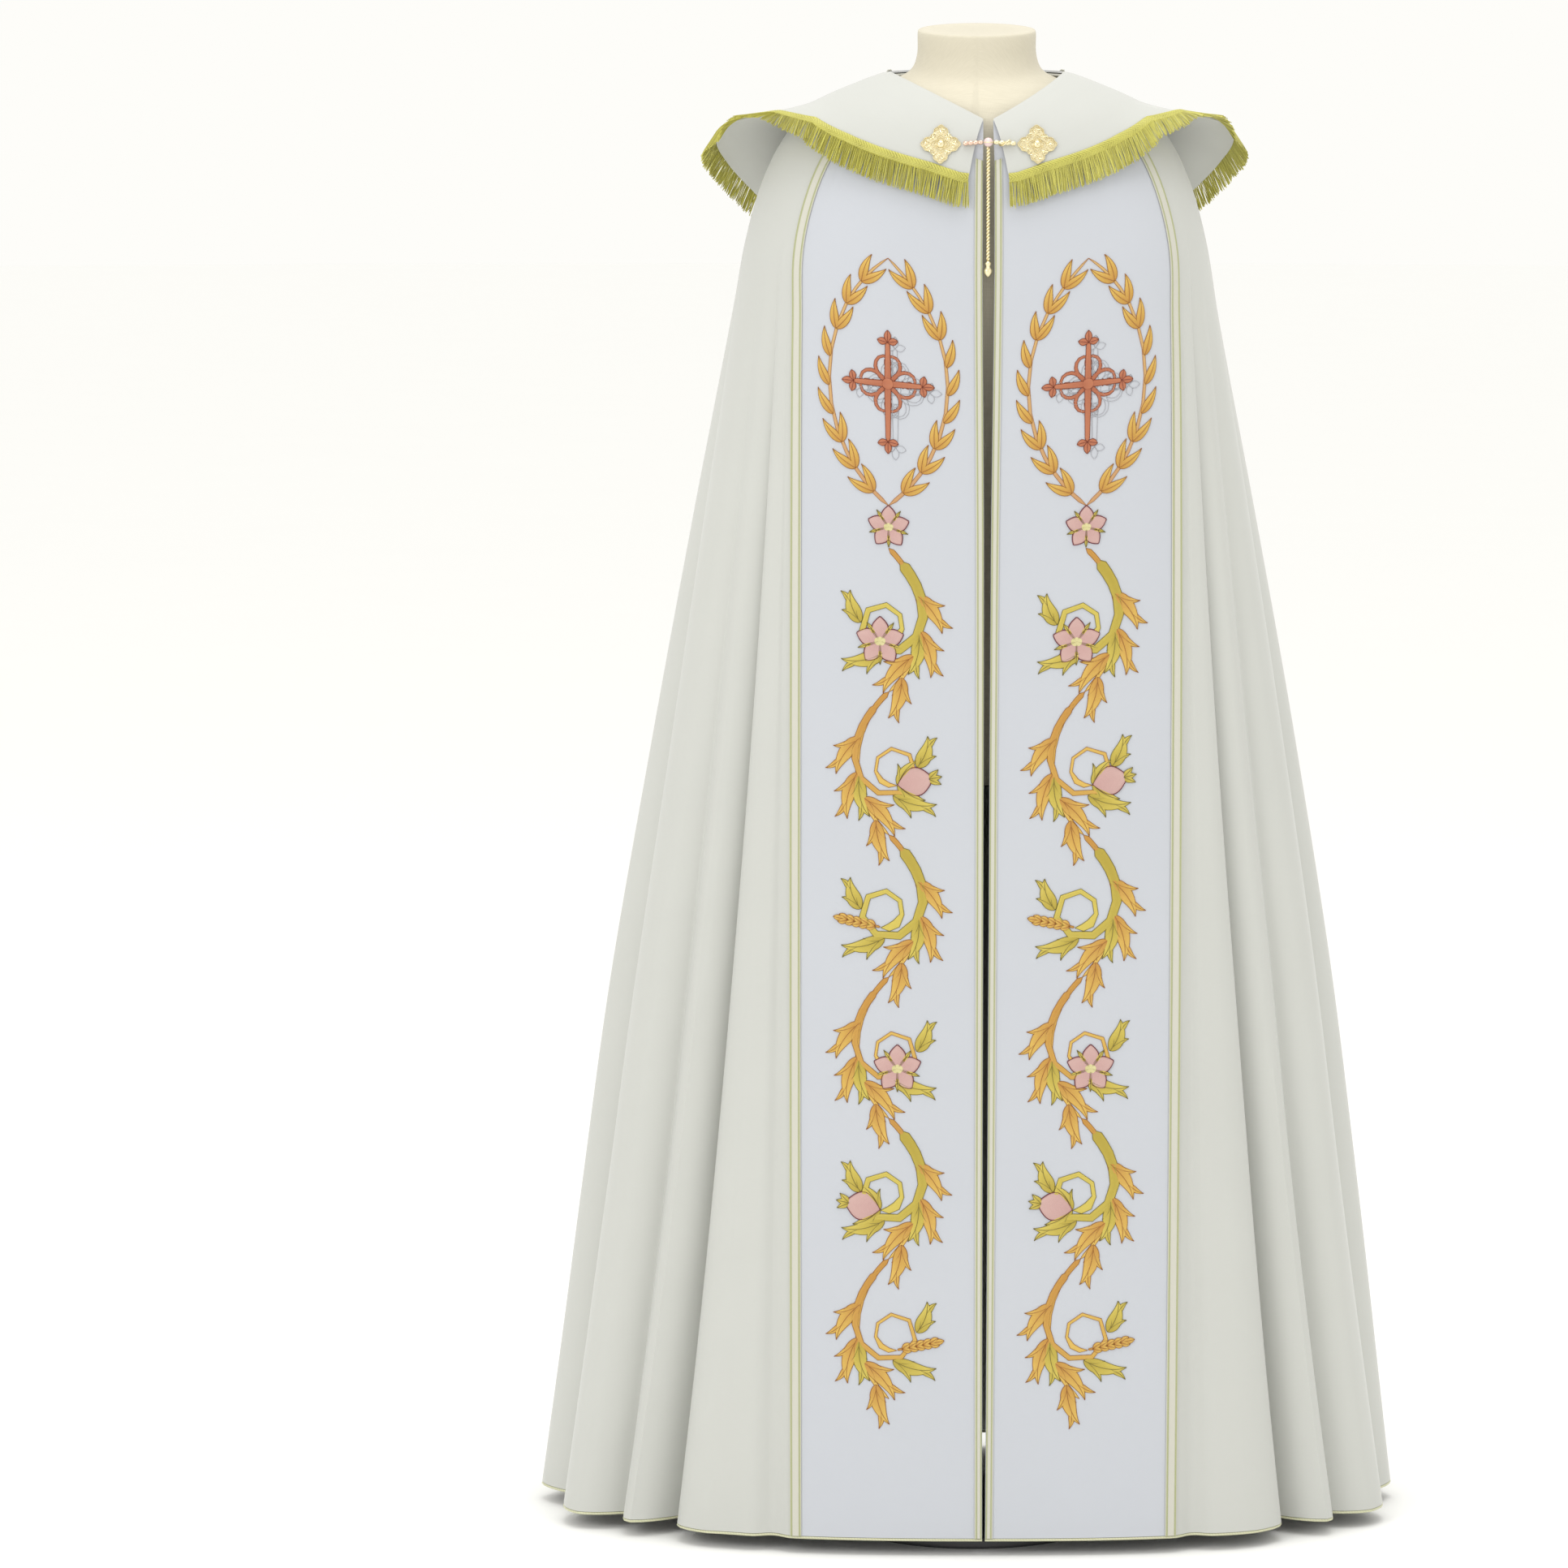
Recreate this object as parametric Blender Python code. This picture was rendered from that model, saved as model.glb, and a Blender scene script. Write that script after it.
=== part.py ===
"""Cope vestment on a limbless dress form.

The frame is +Z up with the front of the cope towards -Y, and the origin lies on the floor below
the neck. The cope is drawn as a smooth shell worked out from a table of rings. The front bands
lie on that shell, the folds of the body are pressed into it, and the hood is made from the same
shell, moved out. All sizes are in metres.
"""

import math
from collections import namedtuple

import bmesh
import bpy
import numpy as np
from mathutils import Vector
from mathutils.bvhtree import BVHTree

CLOTH = 0.0020
BRAID = 0.0010
GAP = 0.0003
OPENING_SHIFT = 0.009
LEFT, RIGHT = -1, 1

# The shell, from the neck edge down. slit is half the gap between the front edges, and band is
# the width of the front orphrey along the cloth.
Ring = namedtuple("Ring", "name z_front z_side z_back half_width y_front y_mid y_back square slit band")
RINGS = (
    Ring("neck", 1.485, 1.533, 1.535, 0.088, -0.095, 0.000, 0.068, 2.0, 0.006, 0.085),
    Ring("neck_base", 1.468, 1.521, 1.520, 0.121, -0.106, 0.000, 0.086, 2.0, 0.006, 0.108),
    Ring("shoulder", 1.446, 1.503, 1.497, 0.160, -0.114, 0.004, 0.104, 2.1, 0.006, 0.138),
    Ring("shoulder_end", 1.417, 1.474, 1.462, 0.194, -0.119, 0.010, 0.120, 2.2, 0.006, 0.165),
    Ring("arm_top", 1.380, 1.425, 1.415, 0.220, -0.122, 0.016, 0.132, 2.35, 0.006, 0.184),
    Ring("chest", 1.330, 1.363, 1.358, 0.238, -0.124, 0.022, 0.141, 2.5, 0.006, 0.195),
    Ring("blade", 1.265, 1.292, 1.288, 0.251, -0.125, 0.028, 0.149, 2.5, 0.0055, 0.195),
    Ring("back", 1.170, 1.191, 1.190, 0.271, -0.126, 0.035, 0.161, 2.5, 0.0045, 0.195),
    Ring("waist", 1.050, 1.065, 1.065, 0.296, -0.127, 0.044, 0.178, 2.5, 0.0035, 0.195),
    Ring("hip", 0.850, 0.855, 0.855, 0.336, -0.128, 0.061, 0.213, 2.5, 0.0028, 0.195),
    Ring("thigh", 0.600, 0.602, 0.602, 0.380, -0.129, 0.080, 0.258, 2.5, 0.0024, 0.195),
    Ring("knee", 0.380, 0.380, 0.380, 0.411, -0.130, 0.096, 0.298, 2.5, 0.0020, 0.195),
    Ring("shin", 0.180, 0.180, 0.180, 0.438, -0.131, 0.108, 0.334, 2.5, 0.0015, 0.195),
    Ring("hem", 0.019, 0.019, 0.019, 0.460, -0.132, 0.118, 0.362, 2.5, 0.001, 0.195),
)
SHELL = np.array([ring[1:9] for ring in RINGS])
SLIT = np.array([ring.slit for ring in RINGS])
BAND = np.array([ring.band for ring in RINGS])
MESH_ROWS = (0, 0.5, 1, 1.5, 2, 2.5, 3, 3.5, 4, 5, 6, 7, 8, 9.5, 11, 13)
TRIM_START = 2

# The folds of the body on each side. A place runs from the orphrey's seam, 0, to the centre of
# the back, 1, and ease bends the line that it follows between top and hem. half_width is in the
# same measure at the hem, depth and lean are the hem's, and sharp is 1 for a creased hollow.
Fold = namedtuple("Fold", "name place_top place_hem ease half_width depth lean sharp starts")
FOLDS = (
    Fold("seam_hollow", 0.022, 0.026, 1.0, 0.022, 0.008, 0.000, 0, 1.34),
    Fold("front_fold", 0.060, 0.150, 1.5, 0.050, 0.052, 0.016, 1, 1.38),
    Fold("side_front", 0.120, 0.222, 1.2, 0.042, 0.034, 0.005, 1, 1.33),
    Fold("side", 0.235, 0.345, 1.0, 0.060, 0.042, 0.005, 1, 1.32),
    Fold("side_back", 0.345, 0.470, 1.0, 0.060, 0.040, 0.000, 1, 1.30),
    Fold("back_outer", 0.450, 0.590, 0.9, 0.055, 0.030, 0.000, 0, 1.28),
    Fold("back_inner", 0.560, 0.715, 0.8, 0.060, 0.036, 0.004, 1, 1.26),
    Fold("back_pleat", 0.677, 0.864, 0.65, 0.050, 0.040, 0.016, 1, 1.24),
)
FOLD_TOP = 1.36
FOLD_GROWTH = 1.1
DEPTH_ROOM, LEAN_ROOM = 1.25, 0.28
CREASE_COLUMNS = (-0.55, -0.22, 0.0, 0.25, 0.65)
HOLLOW_COLUMNS = (-0.5, 0.0, 0.5)
MIN_COLUMN = 0.006

# The hood's lower edge: where the shell is cut, by angle round it from the front, and how far the
# edge stands out there.
Edge = namedtuple("Edge", "angle height flare")
HOOD_EDGE = (
    Edge(0.0, 1.424, 0.000),
    Edge(7.4, 1.427, 0.000),
    Edge(16.0, 1.437, 0.000),
    Edge(30.6, 1.450, 0.000),
    Edge(45.6, 1.464, 0.002),
    Edge(60.0, 1.475, 0.012),
    Edge(72.0, 1.473, 0.032),
    Edge(85.0, 1.460, 0.050),
    Edge(98.0, 1.440, 0.062),
    Edge(110.0, 1.420, 0.062),
    Edge(122.0, 1.395, 0.046),
    Edge(133.0, 1.368, 0.026),
    Edge(142.0, 1.338, 0.012),
    Edge(150.0, 1.308, 0.004),
    Edge(168.0, 1.228, 0.000),
    Edge(180.0, 1.160, 0.000),
)
HOOD_LIFT = 0.0048
HOOD_NECK_LIFT = 0.0033
HOOD_SEAT_SHARE = 0.05
HOOD_FRONT_NECK = 0.006
HOOD_FRONT_EDGE = 0.021
HOOD_ORPHREY_HALF = 0.0875
HOOD_ROWS = 10
HOOD_ROW_EASE = 1.25
HOOD_SIDE_COLUMNS = 33
HOOD_BACK_COLUMNS = 7
WING_START = 0.30
WING_POWER = 4.0

SEAM_TRIM = 0.012
EDGE_TRIM = 0.008
PIPING = 0.003

HEADER_WIDTH = 0.010
HEADER_THICK = 0.0020
HEADER_OFFSET = CLOTH / 2 + 0.0008 + HEADER_THICK / 2
HEADER_TILT = 0.0008
HEADER_BELOW = 0.001
LOCKS_PER_CELL = 2
LOCK_LENGTH = 0.028
LOCK_TIP = (0.50, 0.80)

# The dress form, from the bottom up. tilt is how fast a ring rises from front to back.
Torso = namedtuple("Torso", "name z half_width y_front y_back square tilt")
TORSO = (
    Torso("bottom", 0.800, 0.120, -0.062, 0.090, 2.2, 0.0),
    Torso("bottom_edge", 0.812, 0.145, -0.080, 0.108, 2.3, 0.0),
    Torso("hip", 0.900, 0.160, -0.090, 0.112, 2.3, 0.0),
    Torso("waist", 1.070, 0.132, -0.082, 0.092, 2.2, 0.0),
    Torso("ribs", 1.200, 0.152, -0.094, 0.108, 2.3, 0.0),
    Torso("chest", 1.310, 0.176, -0.106, 0.122, 2.3, 0.0),
    Torso("armpit", 1.388, 0.192, -0.104, 0.122, 2.3, 0.0),
    Torso("arm", 1.435, 0.196, -0.100, 0.116, 2.2, 0.0),
    Torso("shoulder_end", 1.472, 0.184, -0.094, 0.107, 2.1, 0.0),
    Torso("shoulder", 1.500, 0.155, -0.084, 0.094, 2.0, 0.0),
    Torso("shoulder_top", 1.517, 0.120, -0.070, 0.080, 2.0, 0.02),
    Torso("neck_root", 1.527, 0.086, -0.060, 0.068, 2.0, 0.05),
    Torso("neck_low", 1.537, 0.068, -0.055, 0.059, 2.0, 0.08),
    Torso("neck", 1.553, 0.0615, -0.052, 0.056, 2.0, 0.11),
    Torso("neck_top", 1.5750, 0.0610, -0.052, 0.056, 2.0, 0.12),
    Torso("neck_rim", 1.5780, 0.0585, -0.050, 0.054, 2.0, 0.12),
)
TORSO_SIDES = 32
TORSO_SEAT = 0.0005

STAND_Y = 0.045
POLE_RADIUS = 0.0125
BASE_RADIUS = 0.150
BASE_THICK = 0.012
BASE_PROFILE = (
    (BASE_RADIUS - 0.003, 0.0),
    (BASE_RADIUS, 0.003),
    (BASE_RADIUS, BASE_THICK - 0.004),
    (BASE_RADIUS - 0.004, BASE_THICK),
)

CLASP_Z = 1.463
CLASP_SPREAD = 0.0485
PLATE_RADIUS = 0.0172
PLATE_LOBE = 0.0034
PLATE_POINTS = 32
PLATE_STEPS = ((1.00, 0.0), (1.00, 0.0012), (0.90, 0.0018), (0.62, 0.0018), (0.52, 0.0030), (0.24, 0.0034))
BAR_RADIUS = 0.0024
STONE_RADIUS = 0.0048
CHAIN_RADIUS = 0.0026
CHAIN_END = 1.3480
CHAIN_FORWARD = 0.010
CHAIN_LINKS = 10
PENDANT_PROFILE = (
    (0.0012, 0.0),
    (0.0034, -0.0025),
    (0.0028, -0.0060),
    (0.0044, -0.0105),
    (0.0030, -0.0150),
    (0.0010, -0.0175),
)


def linear(srgb):
    """The linear value of an 8-bit sRGB colour, which the Principled shader takes."""
    value = np.array(srgb) / 255
    return [*np.where(value <= 0.04045, value / 12.92, ((value + 0.055) / 1.055) ** 2.4), 1.0]


Finish = namedtuple("Finish", "colour roughness metallic")
FINISHES = {
    "cream_cloth": Finish((222, 222, 212), 0.75, 0.0),
    "white_cloth": Finish((228, 231, 234), 0.70, 0.0),
    "gold_green_braid": Finish((205, 204, 160), 0.50, 0.2),
    "gold_green_fringe": Finish((189, 186, 85), 0.55, 0.0),
    "pale_gold": Finish((222, 208, 150), 0.30, 1.0),
    "pink_stone": Finish((226, 205, 200), 0.15, 0.0),
    "form_linen": Finish((208, 202, 184), 0.85, 0.0),
    "stand_steel": Finish((70, 70, 72), 0.40, 0.8),
}


def material(name, slot):
    finish = FINISHES[slot]
    made = bpy.data.materials.new(name)
    made.use_nodes = True
    shader = made.node_tree.nodes["Principled BSDF"]
    shader.inputs["Base Color"].default_value = linear(finish.colour)
    shader.inputs["Roughness"].default_value = finish.roughness
    shader.inputs["Metallic"].default_value = finish.metallic
    return made


def add_object(name, points, faces, slot, outward=True, sharp=35.0):
    """A smooth-shaded object from points and faces; outward turns all faces out of a closed body."""
    mesh = bpy.data.meshes.new(name)
    mesh.from_pydata([tuple(p) for p in points], [], [tuple(int(k) for k in f) for f in faces])
    if outward:
        work = bmesh.new()
        work.from_mesh(mesh)
        bmesh.ops.recalc_face_normals(work, faces=work.faces)
        work.to_mesh(mesh)
        work.free()
    mesh.shade_smooth()
    mesh.set_sharp_from_angle(angle=math.radians(sharp))
    mesh.materials.append(material(name, slot))
    made = bpy.data.objects.new(name, mesh)
    bpy.context.collection.objects.link(made)
    return made


def unit(vectors):
    return vectors / np.linalg.norm(vectors, axis=-1, keepdims=True)


def hermite(table, v):
    """Rows of a table read at fractional row numbers, on a smooth curve through them."""
    last = len(table) - 1
    low = np.clip(np.floor(v).astype(int), 0, last - 1)
    f = (v - low)[..., None] if table.ndim > 1 else v - low
    slope = np.gradient(table, axis=0)
    a, b = table[low], table[low + 1]
    return (
        (2 * f**3 - 3 * f**2 + 1) * a
        + (f**3 - 2 * f**2 + f) * slope[low]
        + (3 * f**2 - 2 * f**3) * b
        + (f**3 - f**2) * slope[low + 1]
    )


def shell(angle, v, side):
    """Points of the shell: a superellipse round each ring, by angle from the front centre."""
    z_front, z_side, z_back, half_width, y_front, y_mid, y_back, square = np.moveaxis(hermite(SHELL, v), -1, 0)
    s, c = np.sin(angle), np.cos(angle)
    x = half_width * np.sign(s) * np.abs(s) ** (2 / square)
    reach = np.abs(c) ** (2 / square)
    y = np.where(c > 0, y_mid + (y_front - y_mid) * reach, y_mid + (y_back - y_mid) * reach)
    z = np.where(c > 0, z_front + (z_side - z_front) * s, z_side + (z_back - z_side) * c**2)
    return np.stack([side * x + OPENING_SHIFT * np.clip(c, 0, 1) ** 2, y, z], axis=-1)


def shell_frame(angle, v, side, step=1e-3):
    """Unit vectors of the shell at a point: outward, round towards the back, and down."""
    v = np.clip(v, step, len(RINGS) - 1 - step)
    around = unit(shell(angle + step, v, side) - shell(angle - step, v, side))
    down = unit(shell(angle, v + step, side) - shell(angle, v - step, side))
    return unit(-side * np.cross(around, down)), around, down


def angles_at(distance, v, side, samples=721):
    """The angle at which the cloth lies the given distance round from the front centre, row by row."""
    angle = np.linspace(0, math.pi, samples)
    found = np.empty(np.broadcast_shapes(distance.shape, v.shape))
    distance = np.broadcast_to(distance, found.shape)
    for row in range(len(found)):
        points = shell(angle, np.full(samples, v[row, 0]), side)
        along = np.concatenate([[0], np.cumsum(np.linalg.norm(np.diff(points, axis=0), axis=1))])
        found[row] = np.interp(distance[row], along, angle)
    return found


def half_length(v, side, samples=721):
    """The length of each half ring, from the front centre to the centre of the back."""
    angle = np.linspace(0, math.pi, samples)
    points = shell(angle[None, :], v, side)
    return np.linalg.norm(np.diff(points, axis=1), axis=2).sum(axis=1)[:, None]


def wall(name, middle, outward, thick, slot, offset=0.0):
    """A closed wall of cloth from a grid of middle points and the directions out of it."""
    rows, columns = middle.shape[:2]
    outer = middle + outward * (offset + thick / 2)
    inner = middle + outward * (offset - thick / 2)
    o = np.arange(rows * columns).reshape(rows, columns)
    i = o + rows * columns

    def quads(a, b, c, d):
        return np.stack([a, b, c, d], axis=-1).reshape(-1, 4)

    faces = np.concatenate(
        [
            quads(o[:-1, :-1], o[:-1, 1:], o[1:, 1:], o[1:, :-1]),
            quads(i[:-1, :-1], i[1:, :-1], i[1:, 1:], i[:-1, 1:]),
            quads(o[0, 1:], o[0, :-1], i[0, :-1], i[0, 1:]),
            quads(o[-1, :-1], o[-1, 1:], i[-1, 1:], i[-1, :-1]),
            quads(o[1:, -1], o[:-1, -1], i[:-1, -1], i[1:, -1]),
            quads(o[:-1, 0], o[1:, 0], i[1:, 0], i[:-1, 0]),
        ]
    )
    turn = np.cross(middle[0, 1] - middle[0, 0], middle[1, 1] - middle[0, 1])
    if np.dot(turn, outward[0, 0]) < 0:
        faces = faces[:, ::-1]
    points = np.concatenate([outer.reshape(-1, 3), inner.reshape(-1, 3)])
    return add_object(name, points, faces, slot, outward=False)


def sweep(name, sections, slot, sharp=35.0):
    """A closed body through a row of closed sections, with a face at each end."""
    count, sides = sections.shape[:2]
    k = np.arange(count * sides).reshape(count, sides)
    across = np.roll(k, -1, axis=1)
    faces = np.stack([k[:-1], across[:-1], across[1:], k[1:]], axis=-1).reshape(-1, 4).tolist()
    faces += [k[0].tolist(), k[-1].tolist()]
    return add_object(name, sections.reshape(-1, 3), faces, slot, sharp=sharp)


def turned(name, profile, centre, slot, sides=32):
    """A body turned round a vertical line, through a profile of radius and height."""
    turn = np.linspace(0, 2 * math.pi, sides, endpoint=False)
    circle = np.stack([np.cos(turn), np.sin(turn), np.zeros(sides)], axis=-1)
    sections = [radius * circle + np.array([0, 0, height]) for radius, height in profile]
    return sweep(name, np.array(sections) + np.array(centre), slot)


def mesh_rows():
    """Row numbers down the shell, as a column, closer together where the cloth rounds the shoulder."""
    return np.array(MESH_ROWS, dtype=float)[:, None]


def band_grid(v, start, end, columns, side):
    """Shell points and outward directions of a band between two distances from the front centre."""
    share = np.linspace(0, 1, columns)[None, :]
    angle = angles_at(start + (end - start) * share, v, side)
    rows = np.broadcast_to(v, angle.shape)
    return shell(angle, rows, side), shell_frame(angle, rows, side)[0]


def slit_at(v):
    return hermite(SLIT, v)


def seam_at(v):
    return slit_at(v) + hermite(BAND, v)


def fold_columns():
    """Places of the body's columns at the hem: close together at each hollow, one on each crest."""
    centres = [fold.place_hem for fold in FOLDS]
    places = {0.0, 1.0, 0.955}
    for fold in FOLDS:
        steps = CREASE_COLUMNS if fold.sharp else HOLLOW_COLUMNS
        places.update(fold.place_hem + k * fold.half_width for k in steps)
    places.update((a + b) / 2 for a, b in zip(centres[1:], centres[2:]))
    ordered = []
    for place in sorted(places):
        if ordered and place - ordered[-1] < MIN_COLUMN:
            if place in centres:
                ordered[-1] = place
        else:
            ordered.append(place)
    return np.array(ordered)


def body_grid(side, v, columns):
    """The folded body: shell points pressed inwards in the hollows and leaned over at the creases."""
    height = hermite(SHELL, v)[..., 1]
    run = np.clip((FOLD_TOP - height) / (FOLD_TOP - RINGS[-1].z_side), 0, 1)
    hem_places = np.array([0.0, *(fold.place_hem for fold in FOLDS), 1.0])
    top_places = np.array([0.0, *(fold.place_top for fold in FOLDS), 1.0])
    ease = np.array([1.0, *(fold.ease for fold in FOLDS), 1.0])
    place = np.array(
        [np.interp(columns, hem_places, top_places + (hem_places - top_places) * r**ease) for r in run[:, 0]]
    )
    seam = seam_at(v) + GAP
    angle = angles_at(seam + place * (half_length(v, side) - seam), v, side)
    rows = np.broadcast_to(v, angle.shape)
    points = shell(angle, rows, side)
    outward, around, _ = shell_frame(angle, rows, side)
    along = place * (half_length(v, side) - seam)
    stretch = np.gradient(along, columns, axis=1)
    depth = np.zeros(angle.shape)
    lean = np.zeros(angle.shape)
    for fold in FOLDS:
        centre = int(np.argmin(np.abs(columns - fold.place_hem)))
        room = fold.half_width * stretch[:, centre : centre + 1]
        away = (columns[None, :] - fold.place_hem) / fold.half_width
        grown = np.clip((fold.starts - height) / (fold.starts - RINGS[-1].z_side), 0, 1) ** FOLD_GROWTH
        near = np.clip(1 - np.abs(away), 0, 1)
        soft = np.sin(near * math.pi / 2) ** 2
        shape = fold.sharp * near**1.5 + (1 - fold.sharp) * soft
        depth = np.maximum(depth, np.minimum(fold.depth * grown, DEPTH_ROOM * room) * shape)
        over = np.sin(math.pi * np.clip((-away - 0.2) / 0.8, 0, 1))
        lean += np.minimum(fold.lean * grown, LEAN_ROOM * room) * over
    inward = -unit(outward * np.array([1, 1, 0]))
    moved = points + inward * depth[..., None] + around * lean[..., None]
    return moved, outward, around


def grid_normals(points, guide):
    """Outward directions of a grid of points, on the same side as the guide directions."""
    across = np.gradient(points, axis=1)
    down = np.gradient(points, axis=0)
    normal = unit(np.cross(across, down))
    return normal * np.sign((normal * guide).sum(axis=-1, keepdims=True))


def add_body():
    """The body of the cope, one wall from the left orphrey's seam round the back to the right one's."""
    v = mesh_rows()
    columns = fold_columns()
    halves = {}
    for side in (LEFT, RIGHT):
        moved, outward, around = body_grid(side, v, columns)
        halves[side] = (moved, outward)
    points = np.concatenate([halves[RIGHT][0], halves[LEFT][0][:, -2::-1]], axis=1)
    guide = np.concatenate([halves[RIGHT][1], halves[LEFT][1][:, -2::-1]], axis=1)
    across = np.gradient(points, axis=1)
    down = np.gradient(points, axis=0)
    folded = unit(-np.cross(across, down))
    creased = (hermite(SHELL, v)[..., 1] < FOLD_TOP + 0.02)[..., None]
    normal = np.where(creased, folded, guide)
    normal[:, 0] = guide[:, 0]
    normal[:, -1] = guide[:, -1]
    normal[-1] = unit(normal[-1] * np.array([1, 1, 0]))
    wall("mantle_body", points, normal, CLOTH, "cream_cloth")
    return points, normal


def add_front(side, word):
    """The front orphrey on one side, with its braids along the seam and the front edge."""
    v = mesh_rows()
    points, outward = band_grid(v, slit_at(v), seam_at(v), 6, side)
    wall("orphrey_" + word, points, outward, CLOTH, "white_cloth")
    on_top = CLOTH / 2 + 2 * GAP + BRAID / 2
    low = v[TRIM_START:]
    middle = seam_at(low) + GAP / 2
    seam, seam_out = band_grid(low, middle - SEAM_TRIM / 2, middle + SEAM_TRIM / 2, 3, side)
    wall("seam_trim_" + word, seam, seam_out, BRAID, "gold_green_braid", on_top)
    start = slit_at(low) + GAP
    edge, edge_out = band_grid(low, start, start + EDGE_TRIM, 2, side)
    wall("edge_trim_" + word, edge, edge_out, BRAID, "gold_green_braid", on_top)
    return points[-1], outward[-1]


def add_hem_piping(body, fronts):
    """One piping under the whole hem, from front edge to front edge."""
    points, outward = body
    right, left = fronts[RIGHT], fronts[LEFT]
    line = np.concatenate([right[0][:-1], points[-1], left[0][-2::-1]])
    out = np.concatenate([right[1][:-1], outward[-1], left[1][-2::-1]])
    top = line - np.array([0, 0, GAP])
    low = top - np.array([0, 0, PIPING])
    half = out * np.array([1, 1, 0]) * PIPING / 2
    sections = np.stack([top + half, top - half, low - half, low + half], axis=1)
    sweep("hem_piping", sections, "gold_green_braid")


def edge_row(angle, side, samples=600):
    """The row number at which the hood's edge cuts the shell, for each angle."""
    edges = np.array(HOOD_EDGE)
    height = np.interp(angle, np.radians(edges[:, 0]), edges[:, 1])
    v = np.linspace(0, len(RINGS) - 1, samples)
    found = np.empty(angle.shape)
    for k, (a, h) in enumerate(zip(angle, height)):
        found[k] = np.interp(-h, -shell(np.full(samples, a), v, side)[:, 2], v)
    return found


def smooth_flare(angle):
    """How far the hood's edge stands out, smoothed between the rows of its table."""
    edges = np.array(HOOD_EDGE)
    near = np.radians(4.0) * np.linspace(-1, 1, 9)
    return np.interp(angle[..., None] + near, np.radians(edges[:, 0]), edges[:, 2]).mean(axis=-1)


def angle_at_width(x, v, back):
    """The angle on the front or the back of the shell at a distance x from the middle plane."""
    rows = hermite(SHELL, v)
    found = np.arcsin(np.clip(x / rows[..., 3], 0, 1) ** (rows[..., 7] / 2))
    return math.pi - found if back else found


def hood_point(angle, v, share, side):
    """Hood points: the shell moved out, and further out towards the edge over the shoulder."""
    outward = shell_frame(angle, v, side)[0]
    rise = np.clip(share / HOOD_SEAT_SHARE, 0, 1)
    lift = HOOD_NECK_LIFT + (HOOD_LIFT - HOOD_NECK_LIFT) * rise
    wing = np.clip((share - WING_START) / (1 - WING_START), 0, 1) ** WING_POWER
    flare = smooth_flare(np.broadcast_to(angle[-1:], angle.shape))
    return shell(angle, v, side) + outward * (lift + flare * wing)[..., None], outward


def hood_shares():
    """Shares of the way from neck to edge at which the hood has its rows, closer near the neck."""
    return np.linspace(0, 1, HOOD_ROWS)[:, None] ** HOOD_ROW_EASE


def hood_angles(side):
    """Edge angles of the hood's columns, evenly spaced along its edge, and the orphrey's seam."""
    first = angle_at_width(np.array(HOOD_FRONT_EDGE), np.array(3.0), False)
    dense = np.linspace(float(first), math.pi, 400)
    rows = edge_row(dense, side)
    points, _ = hood_point(dense[None, :], rows[None, :], np.ones((1, 400)), side)
    along = np.concatenate([[0], np.cumsum(np.linalg.norm(np.diff(points[0], axis=0), axis=1))])
    behind = np.where((dense > math.pi / 2) & (np.abs(points[0][:, 0]) < HOOD_ORPHREY_HALF))[0]
    seam_k = behind[0]
    front = np.interp(np.linspace(0, along[seam_k], HOOD_SIDE_COLUMNS), along, dense)
    back = np.interp(np.linspace(along[seam_k], along[-1], HOOD_BACK_COLUMNS), along, dense)
    return front, back


def hood_grid(side):
    """Points and outward directions of the hood's side part and of its half orphrey."""
    share = hood_shares()
    front, back = hood_angles(side)
    row_front = share * edge_row(front, side)[None, :]
    row_back = share * edge_row(back, side)[None, :]
    x_start = HOOD_FRONT_NECK + (HOOD_FRONT_EDGE - HOOD_FRONT_NECK) * share
    start = angle_at_width(x_start, row_front[:, :1], False)
    seam = angle_at_width(np.full(share.shape, HOOD_ORPHREY_HALF), row_front[:, -1:], True)
    seam = seam + (front[-1] - seam[-1]) * share
    reach = (front - front[0]) / (front[-1] - front[0])
    angle_front = start + (seam - start) * reach[None, :]
    reach_back = (back - back[0]) / (back[-1] - back[0])
    angle_back = seam + (math.pi - seam) * reach_back[None, :]
    shares = np.broadcast_to(share, angle_front.shape)
    side_part = hood_point(angle_front, row_front, shares, side)
    shares = np.broadcast_to(share, angle_back.shape)
    back_part = hood_point(angle_back, row_back, shares, side)
    return side_part, back_part


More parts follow.
